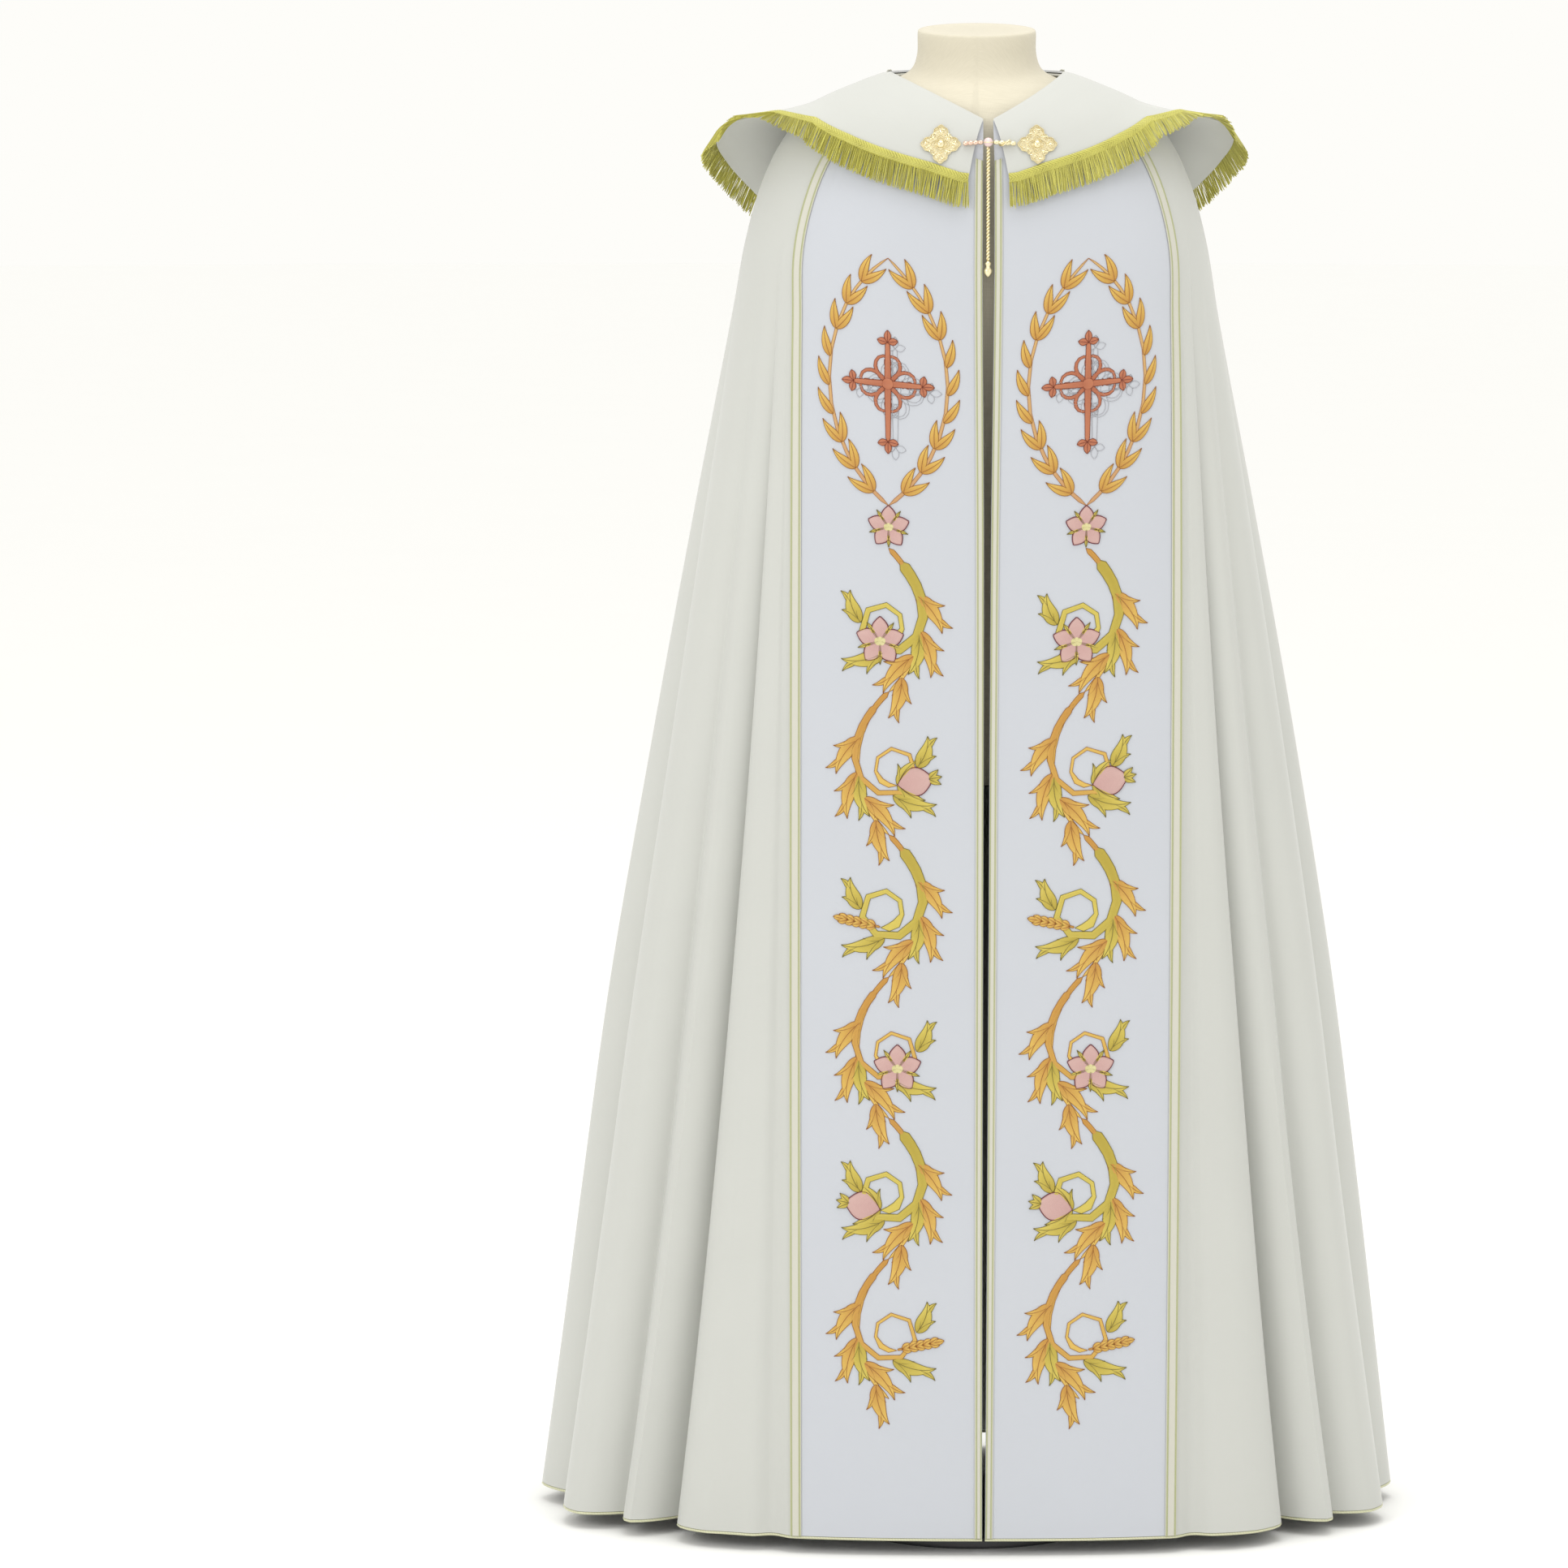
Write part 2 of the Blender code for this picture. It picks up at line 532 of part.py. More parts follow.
def add_hood():
    """The hood: a cream part on each side, the orphrey down its back, and their two braids."""
    edges = {}
    backs = {}
    for side, word in ((LEFT, "left"), (RIGHT, "right")):
        (points, guide), (back, back_guide) = hood_grid(side)
        joined = np.concatenate([points, back[:, 1:]], axis=1)
        guides = np.concatenate([guide, back_guide[:, 1:]], axis=1)
        flared = np.clip((hood_shares()[..., None] - 0.1) / 0.3, 0, 1)
        normal = unit((1 - flared) * guides + flared * grid_normals(joined, guides))
        normal[:, -1] *= np.array([0, 1, 1])
        normal = unit(normal)
        split = points.shape[1]
        cloth = points.copy()
        around = unit(points[:, -1] - points[:, -2])
        cloth[:, -1] -= around * GAP
        wall("hood_" + word, cloth, normal[:, :split], CLOTH, "cream_cloth")
        backs[side] = (back, normal[:, split - 1 :])
        edges[side] = (joined[-1], normal[-1])
        strip, out = strip_on(joined[:-1], normal[:-1], split - 1, SEAM_TRIM)
        wall("hood_trim_" + word, strip, out, BRAID, "gold_green_braid", CLOTH / 2 + 3 * GAP + BRAID / 2)
    back = np.concatenate([backs[RIGHT][0], backs[LEFT][0][:, -2::-1]], axis=1)
    out = np.concatenate([backs[RIGHT][1], backs[LEFT][1][:, -2::-1]], axis=1)
    wall("hood_orphrey", back, out, CLOTH, "white_cloth")
    line = np.concatenate([edges[RIGHT][0], edges[LEFT][0][-2::-1]])
    normal = np.concatenate([edges[RIGHT][1], edges[LEFT][1][-2::-1]])
    return line, normal


def strip_on(points, normal, column, width):
    """A strip of the given width laid along one column of a grid, read between its neighbours."""
    heart = points[:, column]
    strip, out = [heart], [normal[:, column]]
    for k, place in ((column - 1, 0), (column + 1, 2)):
        reach = width / 2 / np.linalg.norm(points[:, k] - heart, axis=1, keepdims=True)
        strip.insert(place, heart + (points[:, k] - heart) * reach)
        out.insert(place, unit(normal[:, column] + (normal[:, k] - normal[:, column]) * reach))
    return np.stack(strip, axis=1), np.stack(out, axis=1)


def add_fringe(line, normal):
    """The fringe: a braided header on the hood's edge, each lock drawn out of its lower face."""
    cells = np.linspace(0, len(line) - 1, (len(line) - 1) * LOCKS_PER_CELL + 1)
    k = np.arange(len(line))
    path = np.stack([np.interp(cells, k, line[:, a]) for a in range(3)], axis=1)
    out = unit(np.stack([np.interp(cells, k, normal[:, a]) for a in range(3)], axis=1))
    along = unit(np.gradient(path, axis=0))
    across = unit(np.cross(out, along))
    across *= np.sign(-across[:, 2:3])
    middle = len(path) // 2
    turn = np.dot(unit(path[middle] - path[middle - 1]), along[middle])
    widen = np.ones((len(path), 1))
    widen[middle] = 1 / max(turn, 0.5)
    centre = path + out * HEADER_OFFSET
    high = centre - across * (HEADER_WIDTH - HEADER_BELOW) * widen + out * HEADER_TILT
    low = centre + across * HEADER_BELOW * widen
    half = out * HEADER_THICK / 2
    header = np.stack([high + half, high - half, low - half, low + half], axis=1)
    stations = len(path)
    grid = np.arange(stations * 4).reshape(stations, 4)
    root = np.stack([header[:-1, 3], header[1:, 3], header[1:, 2], header[:-1, 2]], axis=1)
    root_ids = np.stack([grid[:-1, 3], grid[1:, 3], grid[1:, 2], grid[:-1, 2]], axis=1)
    heart = root.mean(axis=1, keepdims=True)
    along_cell = unit(root[:, 1] - root[:, 0])[:, None]
    offset = root - heart
    sideways = (offset * along_cell).sum(axis=-1, keepdims=True) * along_cell
    stands_out = np.clip((np.hypot(path[:, 0], path[:, 1] - 0.02) - 0.235) / 0.02, 0, 1)
    fall = hanging_direction(path, out, across, stands_out)
    fall = unit(fall[:-1] + fall[1:])[:, None]
    tip = heart + LOCK_TIP[0] * sideways + LOCK_TIP[1] * (offset - sideways) + fall * LOCK_LENGTH
    tip_ids = np.arange(len(tip) * 4).reshape(-1, 4) + stations * 4
    faces = []
    for a, b in ((0, 1), (1, 2), (3, 0)):
        faces += np.stack([grid[:-1, a], grid[:-1, b], grid[1:, b], grid[1:, a]], axis=-1).tolist()
    for a, b in ((0, 1), (1, 2), (2, 3), (3, 0)):
        faces += np.stack([root_ids[:, a], root_ids[:, b], tip_ids[:, b], tip_ids[:, a]], axis=-1).tolist()
    faces += tip_ids.tolist()
    faces += [grid[0].tolist(), grid[-1].tolist()]
    points = np.concatenate([header.reshape(-1, 3), tip.reshape(-1, 3)])
    add_object("hood_fringe", points, faces, "gold_green_fringe")


def hanging_direction(path, out, across, stands_out):
    """Where a lock points: along the cloth while it lies on it, and more nearly down where it is free."""
    straight = np.array([0, 0, -1.0])
    on_cloth = unit(straight - out * (out @ straight)[:, None])
    free = stands_out[:, None]
    weight = 0.45 * across + 0.55 * ((1 - free) * on_cloth + free * straight)
    return unit(weight)


def torso_sections():
    turn = np.linspace(0, 2 * math.pi, TORSO_SIDES, endpoint=False)
    s, c = np.sin(turn), np.cos(turn)
    sections = []
    for ring in TORSO:
        middle = (ring.y_front + ring.y_back) / 2
        half_depth = (ring.y_back - ring.y_front) / 2
        x = ring.half_width * np.sign(s) * np.abs(s) ** (2 / ring.square)
        y = middle - half_depth * np.sign(c) * np.abs(c) ** (2 / ring.square)
        sections.append(np.stack([x, y, ring.z + ring.tilt * y], axis=-1))
    return np.array(sections)


def tree_of(made):
    mesh = made.data
    return BVHTree.FromPolygons([v.co for v in mesh.vertices], [p.vertices[:] for p in mesh.polygons])


def seat_rise(cloth, sections):
    """How far the torso rises until the nearest cloth is TORSO_SEAT away, found by halving."""
    trees = [tree_of(made) for made in cloth]
    points = np.array([v.co for made in cloth for v in made.data.vertices])
    upper = points[points[:, 2] > TORSO[3].z]
    count, sides = sections.shape[:2]
    k = np.arange(count * sides).reshape(count, sides)
    across = np.roll(k, -1, axis=1)
    faces = np.stack([k[:-1], across[:-1], across[1:], k[1:]], axis=-1).reshape(-1, 4).tolist()
    body = BVHTree.FromPolygons([Vector(p) for p in sections.reshape(-1, 3)], faces)
    low, high = -0.020, 0.020
    for _ in range(12):
        rise = (low + high) / 2
        lift = Vector((0, 0, rise))
        gaps = [tree.find_nearest(Vector(p) + lift)[3] for p in sections[3:].reshape(-1, 3) for tree in trees]
        gaps += [body.find_nearest(Vector(p) - lift)[3] for p in upper]
        crossed = any(body.overlap(BVHTree.FromPolygons(
            [v.co - lift for v in made.data.vertices], [f.vertices[:] for f in made.data.polygons]
        )) for made in cloth)
        if crossed or min(gaps) < TORSO_SEAT:
            high = rise
        else:
            low = rise
    return low


def add_form(cloth):
    """The dress form: a torso with its neck, raised until it carries the cope, a pole and a base."""
    sections = torso_sections()
    rise = seat_rise(cloth, sections)
    sections[..., 2] += rise
    sweep("form_torso", sections, "form_linen", sharp=50.0)
    centre = (0, STAND_Y, 0)
    pole = ((POLE_RADIUS, BASE_THICK + GAP), (POLE_RADIUS, float(sections[0, :, 2].min()) - GAP))
    turned("form_pole", pole, centre, "stand_steel", 16)
    turned("form_base", BASE_PROFILE, centre, "stand_steel", 32)


def hood_front_point(x, z):
    """The hood's outer face over a place seen from the front, and the direction out of it."""
    side = RIGHT if x >= OPENING_SHIFT else LEFT
    v = np.linspace(0, 5, 200)
    width = np.full(v.shape, abs(x - OPENING_SHIFT * 0.9))
    angle = angle_at_width(width, v, False)
    points = shell(angle, v, side)
    k = int(np.argmin(np.abs(points[:, 2] - z)))
    out = shell_frame(angle[k], v[k], side)[0]
    return points[k] + out * (HOOD_LIFT + CLOTH / 2), out


def add_plate(name, x):
    """A clasp plate: a four-lobed outline raised in steps to a boss, flat against the hood."""
    foot, out = hood_front_point(x, CLASP_Z)
    right = unit(np.cross(np.array([0, 0, 1.0]), out)) * -1
    up = np.cross(right, out) * -1
    up *= np.sign(up[2])
    turn = np.linspace(0, 2 * math.pi, PLATE_POINTS, endpoint=False)
    radius = PLATE_RADIUS + PLATE_LOBE * np.cos(4 * turn) + 0.0006 * np.cos(16 * turn)
    near = [hood_front_point(x + r * math.cos(t), CLASP_Z + r * math.sin(t))[0] for r, t in zip(radius, turn)]
    proud = max(float(np.dot(p - foot, out)) for p in near)
    foot = foot + out * (max(proud, 0) + GAP)
    flat = radius[:, None] * (np.cos(turn)[:, None] * right + np.sin(turn)[:, None] * up)
    sections = np.array([foot + scale * flat + out * height for scale, height in PLATE_STEPS])
    sweep(name, sections, "pale_gold", sharp=30.0)
    return foot, out


def add_bar(name, start, end, beads):
    """A clasp bar between two points: a round bar swollen into beads."""
    steps = beads * 3 + 1
    share = np.linspace(0, 1, steps)
    radius = BAR_RADIUS * (0.72 + 0.28 * np.abs(np.sin(share * beads * math.pi)))
    turn = np.linspace(0, 2 * math.pi, 8, endpoint=False)
    axis = unit(end - start)
    up = unit(np.cross(axis, np.array([0, 1.0, 0])))
    away = np.cross(axis, up)
    circle = np.cos(turn)[:, None] * up + np.sin(turn)[:, None] * away
    middle = start + (end - start) * share[:, None]
    sweep(name, middle[:, None] + circle[None] * radius[:, None, None], "pale_gold")


def add_clasp():
    """The clasp: two plates, the bars that meet at its stone, and the chain that hangs from it."""
    centre_x = OPENING_SHIFT
    left, _ = add_plate("clasp_plate_left", centre_x - CLASP_SPREAD)
    right, _ = add_plate("clasp_plate_right", centre_x + CLASP_SPREAD)
    reach = CLASP_SPREAD - PLATE_RADIUS - PLATE_LOBE - 2 * GAP - 0.0006
    stone_gap = STONE_RADIUS + 2 * GAP
    stone_foot, out = hood_front_point(centre_x + stone_gap, CLASP_Z)
    stone = stone_foot * np.array([0, 1, 1]) + np.array([centre_x, 0, 0]) + out * (STONE_RADIUS + GAP)
    for word, side in (("left", LEFT), ("right", RIGHT)):
        foot, out = hood_front_point(centre_x + side * reach, CLASP_Z)
        start = foot + out * (BAR_RADIUS + 3 * GAP)
        end = stone + np.array([side * stone_gap, 0, 0])
        add_bar("clasp_bar_" + word, start, end, 3)
    lift = np.linspace(-1, 1, 7)
    profile = [(STONE_RADIUS * math.sqrt(max(1 - h * h, 0.03)), STONE_RADIUS * h) for h in lift]
    turned("clasp_stone", profile, stone, "pink_stone", 12)
    add_chain(stone, min(left[1], right[1]) - CHAIN_FORWARD)


def add_chain(stone, end_y):
    """The hanging chain, a twisted rope of metal, and the drop on its end."""
    top = stone - np.array([0, 0, STONE_RADIUS + GAP])
    end = np.array([stone[0], end_y, CHAIN_END])
    steps = CHAIN_LINKS * 2 + 1
    share = np.linspace(0, 1, steps)
    turn = np.linspace(0, 2 * math.pi, 6, endpoint=False)
    radius = CHAIN_RADIUS * (0.80 + 0.20 * np.abs(np.cos(share * CHAIN_LINKS * math.pi)))
    circle = np.stack([np.cos(turn), np.sin(turn), np.zeros(6)], axis=-1)
    middle = top + (end - top) * share[:, None]
    sweep("clasp_chain", middle[:, None] + circle[None] * radius[:, None, None], "pale_gold")
    turned("chain_drop", PENDANT_PROFILE, end - np.array([0, 0, GAP]), "pale_gold", 8)


def main():
    for old in list(bpy.data.objects):
        bpy.data.objects.remove(old, do_unlink=True)
    body = add_body()
    fronts = {RIGHT: add_front(RIGHT, "right"), LEFT: add_front(LEFT, "left")}
    add_hem_piping(body, fronts)
    line, normal = add_hood()
    add_fringe(line, normal)
    add_clasp()
    cloth = [bpy.data.objects[name] for name in ("mantle_body", "orphrey_left", "orphrey_right")]
    add_form(cloth)


main()
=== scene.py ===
"""Looks for a cope vestment that hangs on a limbless dress form.

The frame is +Z up with the front of the cope towards -Y and the origin on the floor below the neck.
The cope follows a smooth shell given by a table of rings. The body's folds are pressed into that
shell, the front bands lie on it, and the hood is the same shell moved out. All sizes are in metres
unless a name says otherwise.
"""

import logging
import math
from dataclasses import dataclass, field, replace
from enum import Enum
from functools import cached_property
from typing import Callable, NamedTuple

import bpy
import numpy as np
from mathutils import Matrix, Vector

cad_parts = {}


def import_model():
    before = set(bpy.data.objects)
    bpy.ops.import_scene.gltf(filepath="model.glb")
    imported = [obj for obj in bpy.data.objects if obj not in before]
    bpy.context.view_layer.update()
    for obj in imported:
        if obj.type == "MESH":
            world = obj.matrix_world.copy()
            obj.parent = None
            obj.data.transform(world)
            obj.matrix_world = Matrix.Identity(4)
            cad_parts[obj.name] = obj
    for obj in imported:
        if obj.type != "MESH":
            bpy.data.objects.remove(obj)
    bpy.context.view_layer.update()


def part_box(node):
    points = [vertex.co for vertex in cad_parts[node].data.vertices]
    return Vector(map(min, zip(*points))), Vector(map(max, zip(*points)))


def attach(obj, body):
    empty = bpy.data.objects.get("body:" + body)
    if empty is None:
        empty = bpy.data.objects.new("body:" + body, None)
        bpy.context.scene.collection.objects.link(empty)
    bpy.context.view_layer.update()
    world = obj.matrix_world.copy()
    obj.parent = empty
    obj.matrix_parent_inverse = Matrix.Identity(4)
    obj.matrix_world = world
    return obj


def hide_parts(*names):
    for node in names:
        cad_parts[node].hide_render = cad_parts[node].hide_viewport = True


LOG = logging.getLogger("cope")
Array = np.ndarray
Colour = tuple[float, float, float]

CLOTH = 0.0020
GAP = 0.0003
LEFT, RIGHT = -1, 1
BODY = "root"
SEED = 20


class Ring(NamedTuple):
    """One ring of the shell, with half the gap at the opening and the front band's width."""

    name: str
    z_front: float
    z_side: float
    z_back: float
    half_width: float
    y_front: float
    y_mid: float
    y_back: float
    square: float
    slit: float
    band: float


RINGS = (
    Ring("neck", 1.485, 1.533, 1.535, 0.088, -0.095, 0.000, 0.068, 2.0, 0.006, 0.085),
    Ring("neck_base", 1.468, 1.521, 1.520, 0.121, -0.106, 0.000, 0.086, 2.0, 0.006, 0.108),
    Ring("shoulder", 1.446, 1.503, 1.497, 0.160, -0.114, 0.004, 0.104, 2.1, 0.006, 0.138),
    Ring("shoulder_end", 1.417, 1.474, 1.462, 0.194, -0.119, 0.010, 0.120, 2.2, 0.006, 0.165),
    Ring("arm_top", 1.380, 1.425, 1.415, 0.220, -0.122, 0.016, 0.132, 2.35, 0.006, 0.184),
    Ring("chest", 1.330, 1.363, 1.358, 0.238, -0.124, 0.022, 0.141, 2.5, 0.006, 0.195),
    Ring("blade", 1.265, 1.292, 1.288, 0.251, -0.125, 0.028, 0.149, 2.5, 0.0055, 0.195),
    Ring("back", 1.170, 1.191, 1.190, 0.271, -0.126, 0.035, 0.161, 2.5, 0.0045, 0.195),
    Ring("waist", 1.050, 1.065, 1.065, 0.296, -0.127, 0.044, 0.178, 2.5, 0.0035, 0.195),
    Ring("hip", 0.850, 0.855, 0.855, 0.336, -0.128, 0.061, 0.213, 2.5, 0.0028, 0.195),
    Ring("thigh", 0.600, 0.602, 0.602, 0.380, -0.129, 0.080, 0.258, 2.5, 0.0024, 0.195),
    Ring("knee", 0.380, 0.380, 0.380, 0.411, -0.130, 0.096, 0.298, 2.5, 0.0020, 0.195),
    Ring("shin", 0.180, 0.180, 0.180, 0.438, -0.131, 0.108, 0.334, 2.5, 0.0015, 0.195),
    Ring("hem", 0.019, 0.019, 0.019, 0.460, -0.132, 0.118, 0.362, 2.5, 0.001, 0.195),
)
LAST_ROW = len(RINGS) - 1


class Fold(NamedTuple):
    """One fold of the body: its places at top and hem, its size at the hem and where it starts."""

    name: str
    place_top: float
    place_hem: float
    ease: float
    half_width: float
    depth: float
    lean: float
    sharp: int
    starts: float


FOLDS = (
    Fold("seam_hollow", 0.022, 0.026, 1.0, 0.022, 0.008, 0.000, 0, 1.34),
    Fold("front_fold", 0.060, 0.150, 1.5, 0.050, 0.052, 0.016, 1, 1.38),
    Fold("side_front", 0.120, 0.222, 1.2, 0.042, 0.034, 0.005, 1, 1.33),
    Fold("side", 0.235, 0.345, 1.0, 0.060, 0.042, 0.005, 1, 1.32),
    Fold("side_back", 0.345, 0.470, 1.0, 0.060, 0.040, 0.000, 1, 1.30),
    Fold("back_outer", 0.450, 0.590, 0.9, 0.055, 0.030, 0.000, 0, 1.28),
    Fold("back_inner", 0.560, 0.715, 0.8, 0.060, 0.036, 0.004, 1, 1.26),
    Fold("back_pleat", 0.677, 0.864, 0.65, 0.050, 0.040, 0.016, 1, 1.24),
)


class Edge(NamedTuple):
    """One place on the hood's lower edge: angle round the shell, height and how far it stands out."""

    angle: float
    height: float
    flare: float


HOOD_EDGE = (
    Edge(0.0, 1.424, 0.000),
    Edge(7.4, 1.427, 0.000),
    Edge(16.0, 1.437, 0.000),
    Edge(30.6, 1.450, 0.000),
    Edge(45.6, 1.464, 0.002),
    Edge(60.0, 1.475, 0.012),
    Edge(72.0, 1.473, 0.032),
    Edge(85.0, 1.460, 0.050),
    Edge(98.0, 1.440, 0.062),
    Edge(110.0, 1.420, 0.062),
    Edge(122.0, 1.395, 0.046),
    Edge(133.0, 1.368, 0.026),
    Edge(142.0, 1.338, 0.012),
    Edge(150.0, 1.308, 0.004),
    Edge(168.0, 1.228, 0.000),
    Edge(180.0, 1.160, 0.000),
)


class Torso(NamedTuple):
    """One ring of the dress form; tilt is how fast it rises from front to back."""

    name: str
    z: float
    half_width: float
    y_front: float
    y_back: float
    square: float
    tilt: float


TORSO = (
    Torso("bottom", 0.800, 0.120, -0.062, 0.090, 2.2, 0.0),
    Torso("bottom_edge", 0.812, 0.145, -0.080, 0.108, 2.3, 0.0),
    Torso("hip", 0.900, 0.160, -0.090, 0.112, 2.3, 0.0),
    Torso("waist", 1.070, 0.132, -0.082, 0.092, 2.2, 0.0),
    Torso("ribs", 1.200, 0.152, -0.094, 0.108, 2.3, 0.0),
    Torso("chest", 1.310, 0.176, -0.106, 0.122, 2.3, 0.0),
    Torso("armpit", 1.388, 0.192, -0.104, 0.122, 2.3, 0.0),
    Torso("arm", 1.435, 0.196, -0.100, 0.116, 2.2, 0.0),
    Torso("shoulder_end", 1.472, 0.184, -0.094, 0.107, 2.1, 0.0),
    Torso("shoulder", 1.500, 0.155, -0.084, 0.094, 2.0, 0.0),
    Torso("shoulder_top", 1.517, 0.120, -0.070, 0.080, 2.0, 0.02),
    Torso("neck_root", 1.527, 0.086, -0.060, 0.068, 2.0, 0.05),
    Torso("neck_low", 1.537, 0.068, -0.055, 0.059, 2.0, 0.08),
    Torso("neck", 1.553, 0.0615, -0.052, 0.056, 2.0, 0.11),
    Torso("neck_top", 1.5750, 0.0610, -0.052, 0.056, 2.0, 0.12),
    Torso("neck_rim", 1.5780, 0.0585, -0.050, 0.054, 2.0, 0.12),
)


def unit(vectors: Array) -> Array:
    """Vectors scaled to length one along the last axis."""
    return vectors / np.maximum(np.linalg.norm(vectors, axis=-1, keepdims=True), 1e-12)


def hermite(table: Array, rows: Array) -> Array:
    """Reads a table at fractional row numbers, on the cubic Hermite curve through its rows.

    Args:
        table: values, one row for each station.
        rows: fractional row numbers, of any shape.

    Returns:
        The table's values there, with the table's own columns last.
    """
    low = np.clip(np.floor(rows).astype(int), 0, len(table) - 2)
    f = (rows - low)[..., None] if table.ndim > 1 else rows - low
    slope = np.gradient(table, axis=0)
    a, b = table[low], table[low + 1]
    start, end = slope[low], slope[low + 1]
    leave = (2 * f**3 - 3 * f**2 + 1) * a + (f**3 - 2 * f**2 + f) * start
    return leave + (3 * f**2 - 2 * f**3) * b + (f**3 - f**2) * end


def arc_length(points: Array, axis: int = 0) -> Array:
    """Length run along an axis of a grid of points, starting from nought."""
    steps = np.linalg.norm(np.diff(points, axis=axis), axis=-1)
    shape = list(steps.shape)
    shape[axis] = 1
    return np.concatenate([np.zeros(shape), np.cumsum(steps, axis=axis)], axis=axis)


def bilinear(grid: Array, row: Array, column: Array) -> Array:
    """Reads a grid of vectors at fractional rows and columns, mixed evenly from its four neighbours.

    Args:
        grid: vectors by row and column.
        row: fractional row numbers.
        column: fractional column numbers, of the same shape.

    Returns:
        The mixed vectors.
    """
    r = np.clip(np.floor(row).astype(int), 0, grid.shape[0] - 2)
    c = np.clip(np.floor(column).astype(int), 0, grid.shape[1] - 2)
    fr, fc = (row - r)[..., None], (column - c)[..., None]
    top = grid[r, c] * (1 - fc) + grid[r, c + 1] * fc
    low = grid[r + 1, c] * (1 - fc) + grid[r + 1, c + 1] * fc
    return top * (1 - fr) + low * fr


@dataclass
class Surface:
    """The arrays of a mesh: points, faces by their number of corners, and what its points carry."""

    points: Array
    faces: list[Array]
    uv: Array
    values: dict[str, Array] = field(default_factory=dict)

    def flipped_outwards(self) -> "Surface":
        """The same closed surface with its faces turned outwards, by the sign of its volume."""
        volume = 0.0
        for faces in self.faces:
            for k in range(1, faces.shape[1] - 1):
                a, b, c = (self.points[faces[:, j]] for j in (0, k, k + 1))
                volume += float((a * np.cross(b, c)).sum())
        return self if volume >= 0 else replace(self, faces=[faces[:, ::-1] for faces in self.faces])

    def make(self, name: str, finish: "Finish", sharp: float = 40.0) -> bpy.types.Object:
        """Writes the arrays to a smooth-shaded mesh object that rides on the part.

        Args:
            name: the piece's name.
            finish: the finish that it is given.
            sharp: the angle in degrees past which an edge stays sharp.

        Returns:
            The new object.
        """
        mesh = bpy.data.meshes.new(name)
        corners = np.concatenate([faces.ravel() for faces in self.faces])
        sizes = np.concatenate([np.full(len(faces), faces.shape[1]) for faces in self.faces])
        mesh.vertices.add(len(self.points))
        mesh.vertices.foreach_set("co", self.points.astype(np.float32).ravel())
        mesh.loops.add(len(corners))
        mesh.loops.foreach_set("vertex_index", corners.astype(np.int32))
        mesh.polygons.add(len(sizes))
        starts = np.concatenate([[0], np.cumsum(sizes)[:-1]]).astype(np.int32)
        mesh.polygons.foreach_set("loop_start", starts)
        mesh.update(calc_edges=True)
        layer = mesh.uv_layers.new(name="UVMap")
        layer.data.foreach_set("uv", self.uv[corners].astype(np.float32).ravel())
        for key, value in self.values.items():
            colour = value.ndim == 2
            made = mesh.attributes.new(key, "FLOAT_COLOR" if colour else "FLOAT", "POINT")
            made.data.foreach_set("color" if colour else "value", value.astype(np.float32).ravel())
        mesh.shade_smooth()
        mesh.set_sharp_from_angle(angle=math.radians(sharp))
        mesh.materials.append(finish.material)
        piece = bpy.data.objects.new(name, mesh)
        bpy.context.collection.objects.link(piece)
        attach(piece, BODY)
        LOG.info("%s: %d points, %d faces", name, len(self.points), len(sizes))
        return piece


def joined(surfaces: list[Surface]) -> Surface:
    """One surface out of several, with their faces renumbered; all carry the same values."""
    starts = np.cumsum([0] + [len(s.points) for s in surfaces[:-1]])
    return Surface(
        np.concatenate([s.points for s in surfaces]),
        [faces + start for s, start in zip(surfaces, starts) for faces in s.faces],
        np.concatenate([s.uv for s in surfaces]),
        {key: np.concatenate([s.values[key] for s in surfaces]) for key in surfaces[0].values},
    )


def quads(a: Array, b: Array, c: Array, d: Array) -> Array:
    """Four-cornered faces out of four arrays of point numbers."""
    return np.stack([a, b, c, d], axis=-1).reshape(-1, 4)


def wall(outer: Array, inner: Array, uv: Array, values: dict[str, Array] | None = None) -> Surface:
    """A closed wall between two grids of points: both faces and the strips round all four edges.

    Args:
        outer: grid of points of the outer face.
        inner: grid of points of the inner face.
        uv: grid of lengths along and down the cloth, in metres.
        values: what each grid point carries, by name.

    Returns:
        The closed surface, its faces outwards.
    """
    rows, columns = outer.shape[:2]
    o = np.arange(rows * columns).reshape(rows, columns)
    i = o + rows * columns
    faces = np.concatenate(
        [
            quads(o[:-1, :-1], o[:-1, 1:], o[1:, 1:], o[1:, :-1]),
            quads(i[:-1, :-1], i[1:, :-1], i[1:, 1:], i[:-1, 1:]),
            quads(o[0, 1:], o[0, :-1], i[0, :-1], i[0, 1:]),
            quads(o[-1, :-1], o[-1, 1:], i[-1, 1:], i[-1, :-1]),
            quads(o[1:, -1], o[:-1, -1], i[:-1, -1], i[1:, -1]),
            quads(o[:-1, 0], o[1:, 0], i[1:, 0], i[:-1, 0]),
        ]
    )
    middle = outer[rows // 2, columns // 2]
    turn = np.cross(outer[rows // 2, columns // 2 + 1] - middle, outer[rows // 2 + 1, columns // 2] - middle)
    if np.dot(turn, middle - inner[rows // 2, columns // 2]) < 0:
        faces = faces[:, ::-1]
    carried_values = {
        key: np.concatenate([value.reshape(rows * columns, -1)] * 2).squeeze()
        for key, value in (values or {}).items()
    }
    flat = uv.reshape(-1, 2)
    points = np.concatenate([outer.reshape(-1, 3), inner.reshape(-1, 3)])
    return Surface(points, [faces], np.concatenate([flat, flat]), carried_values)


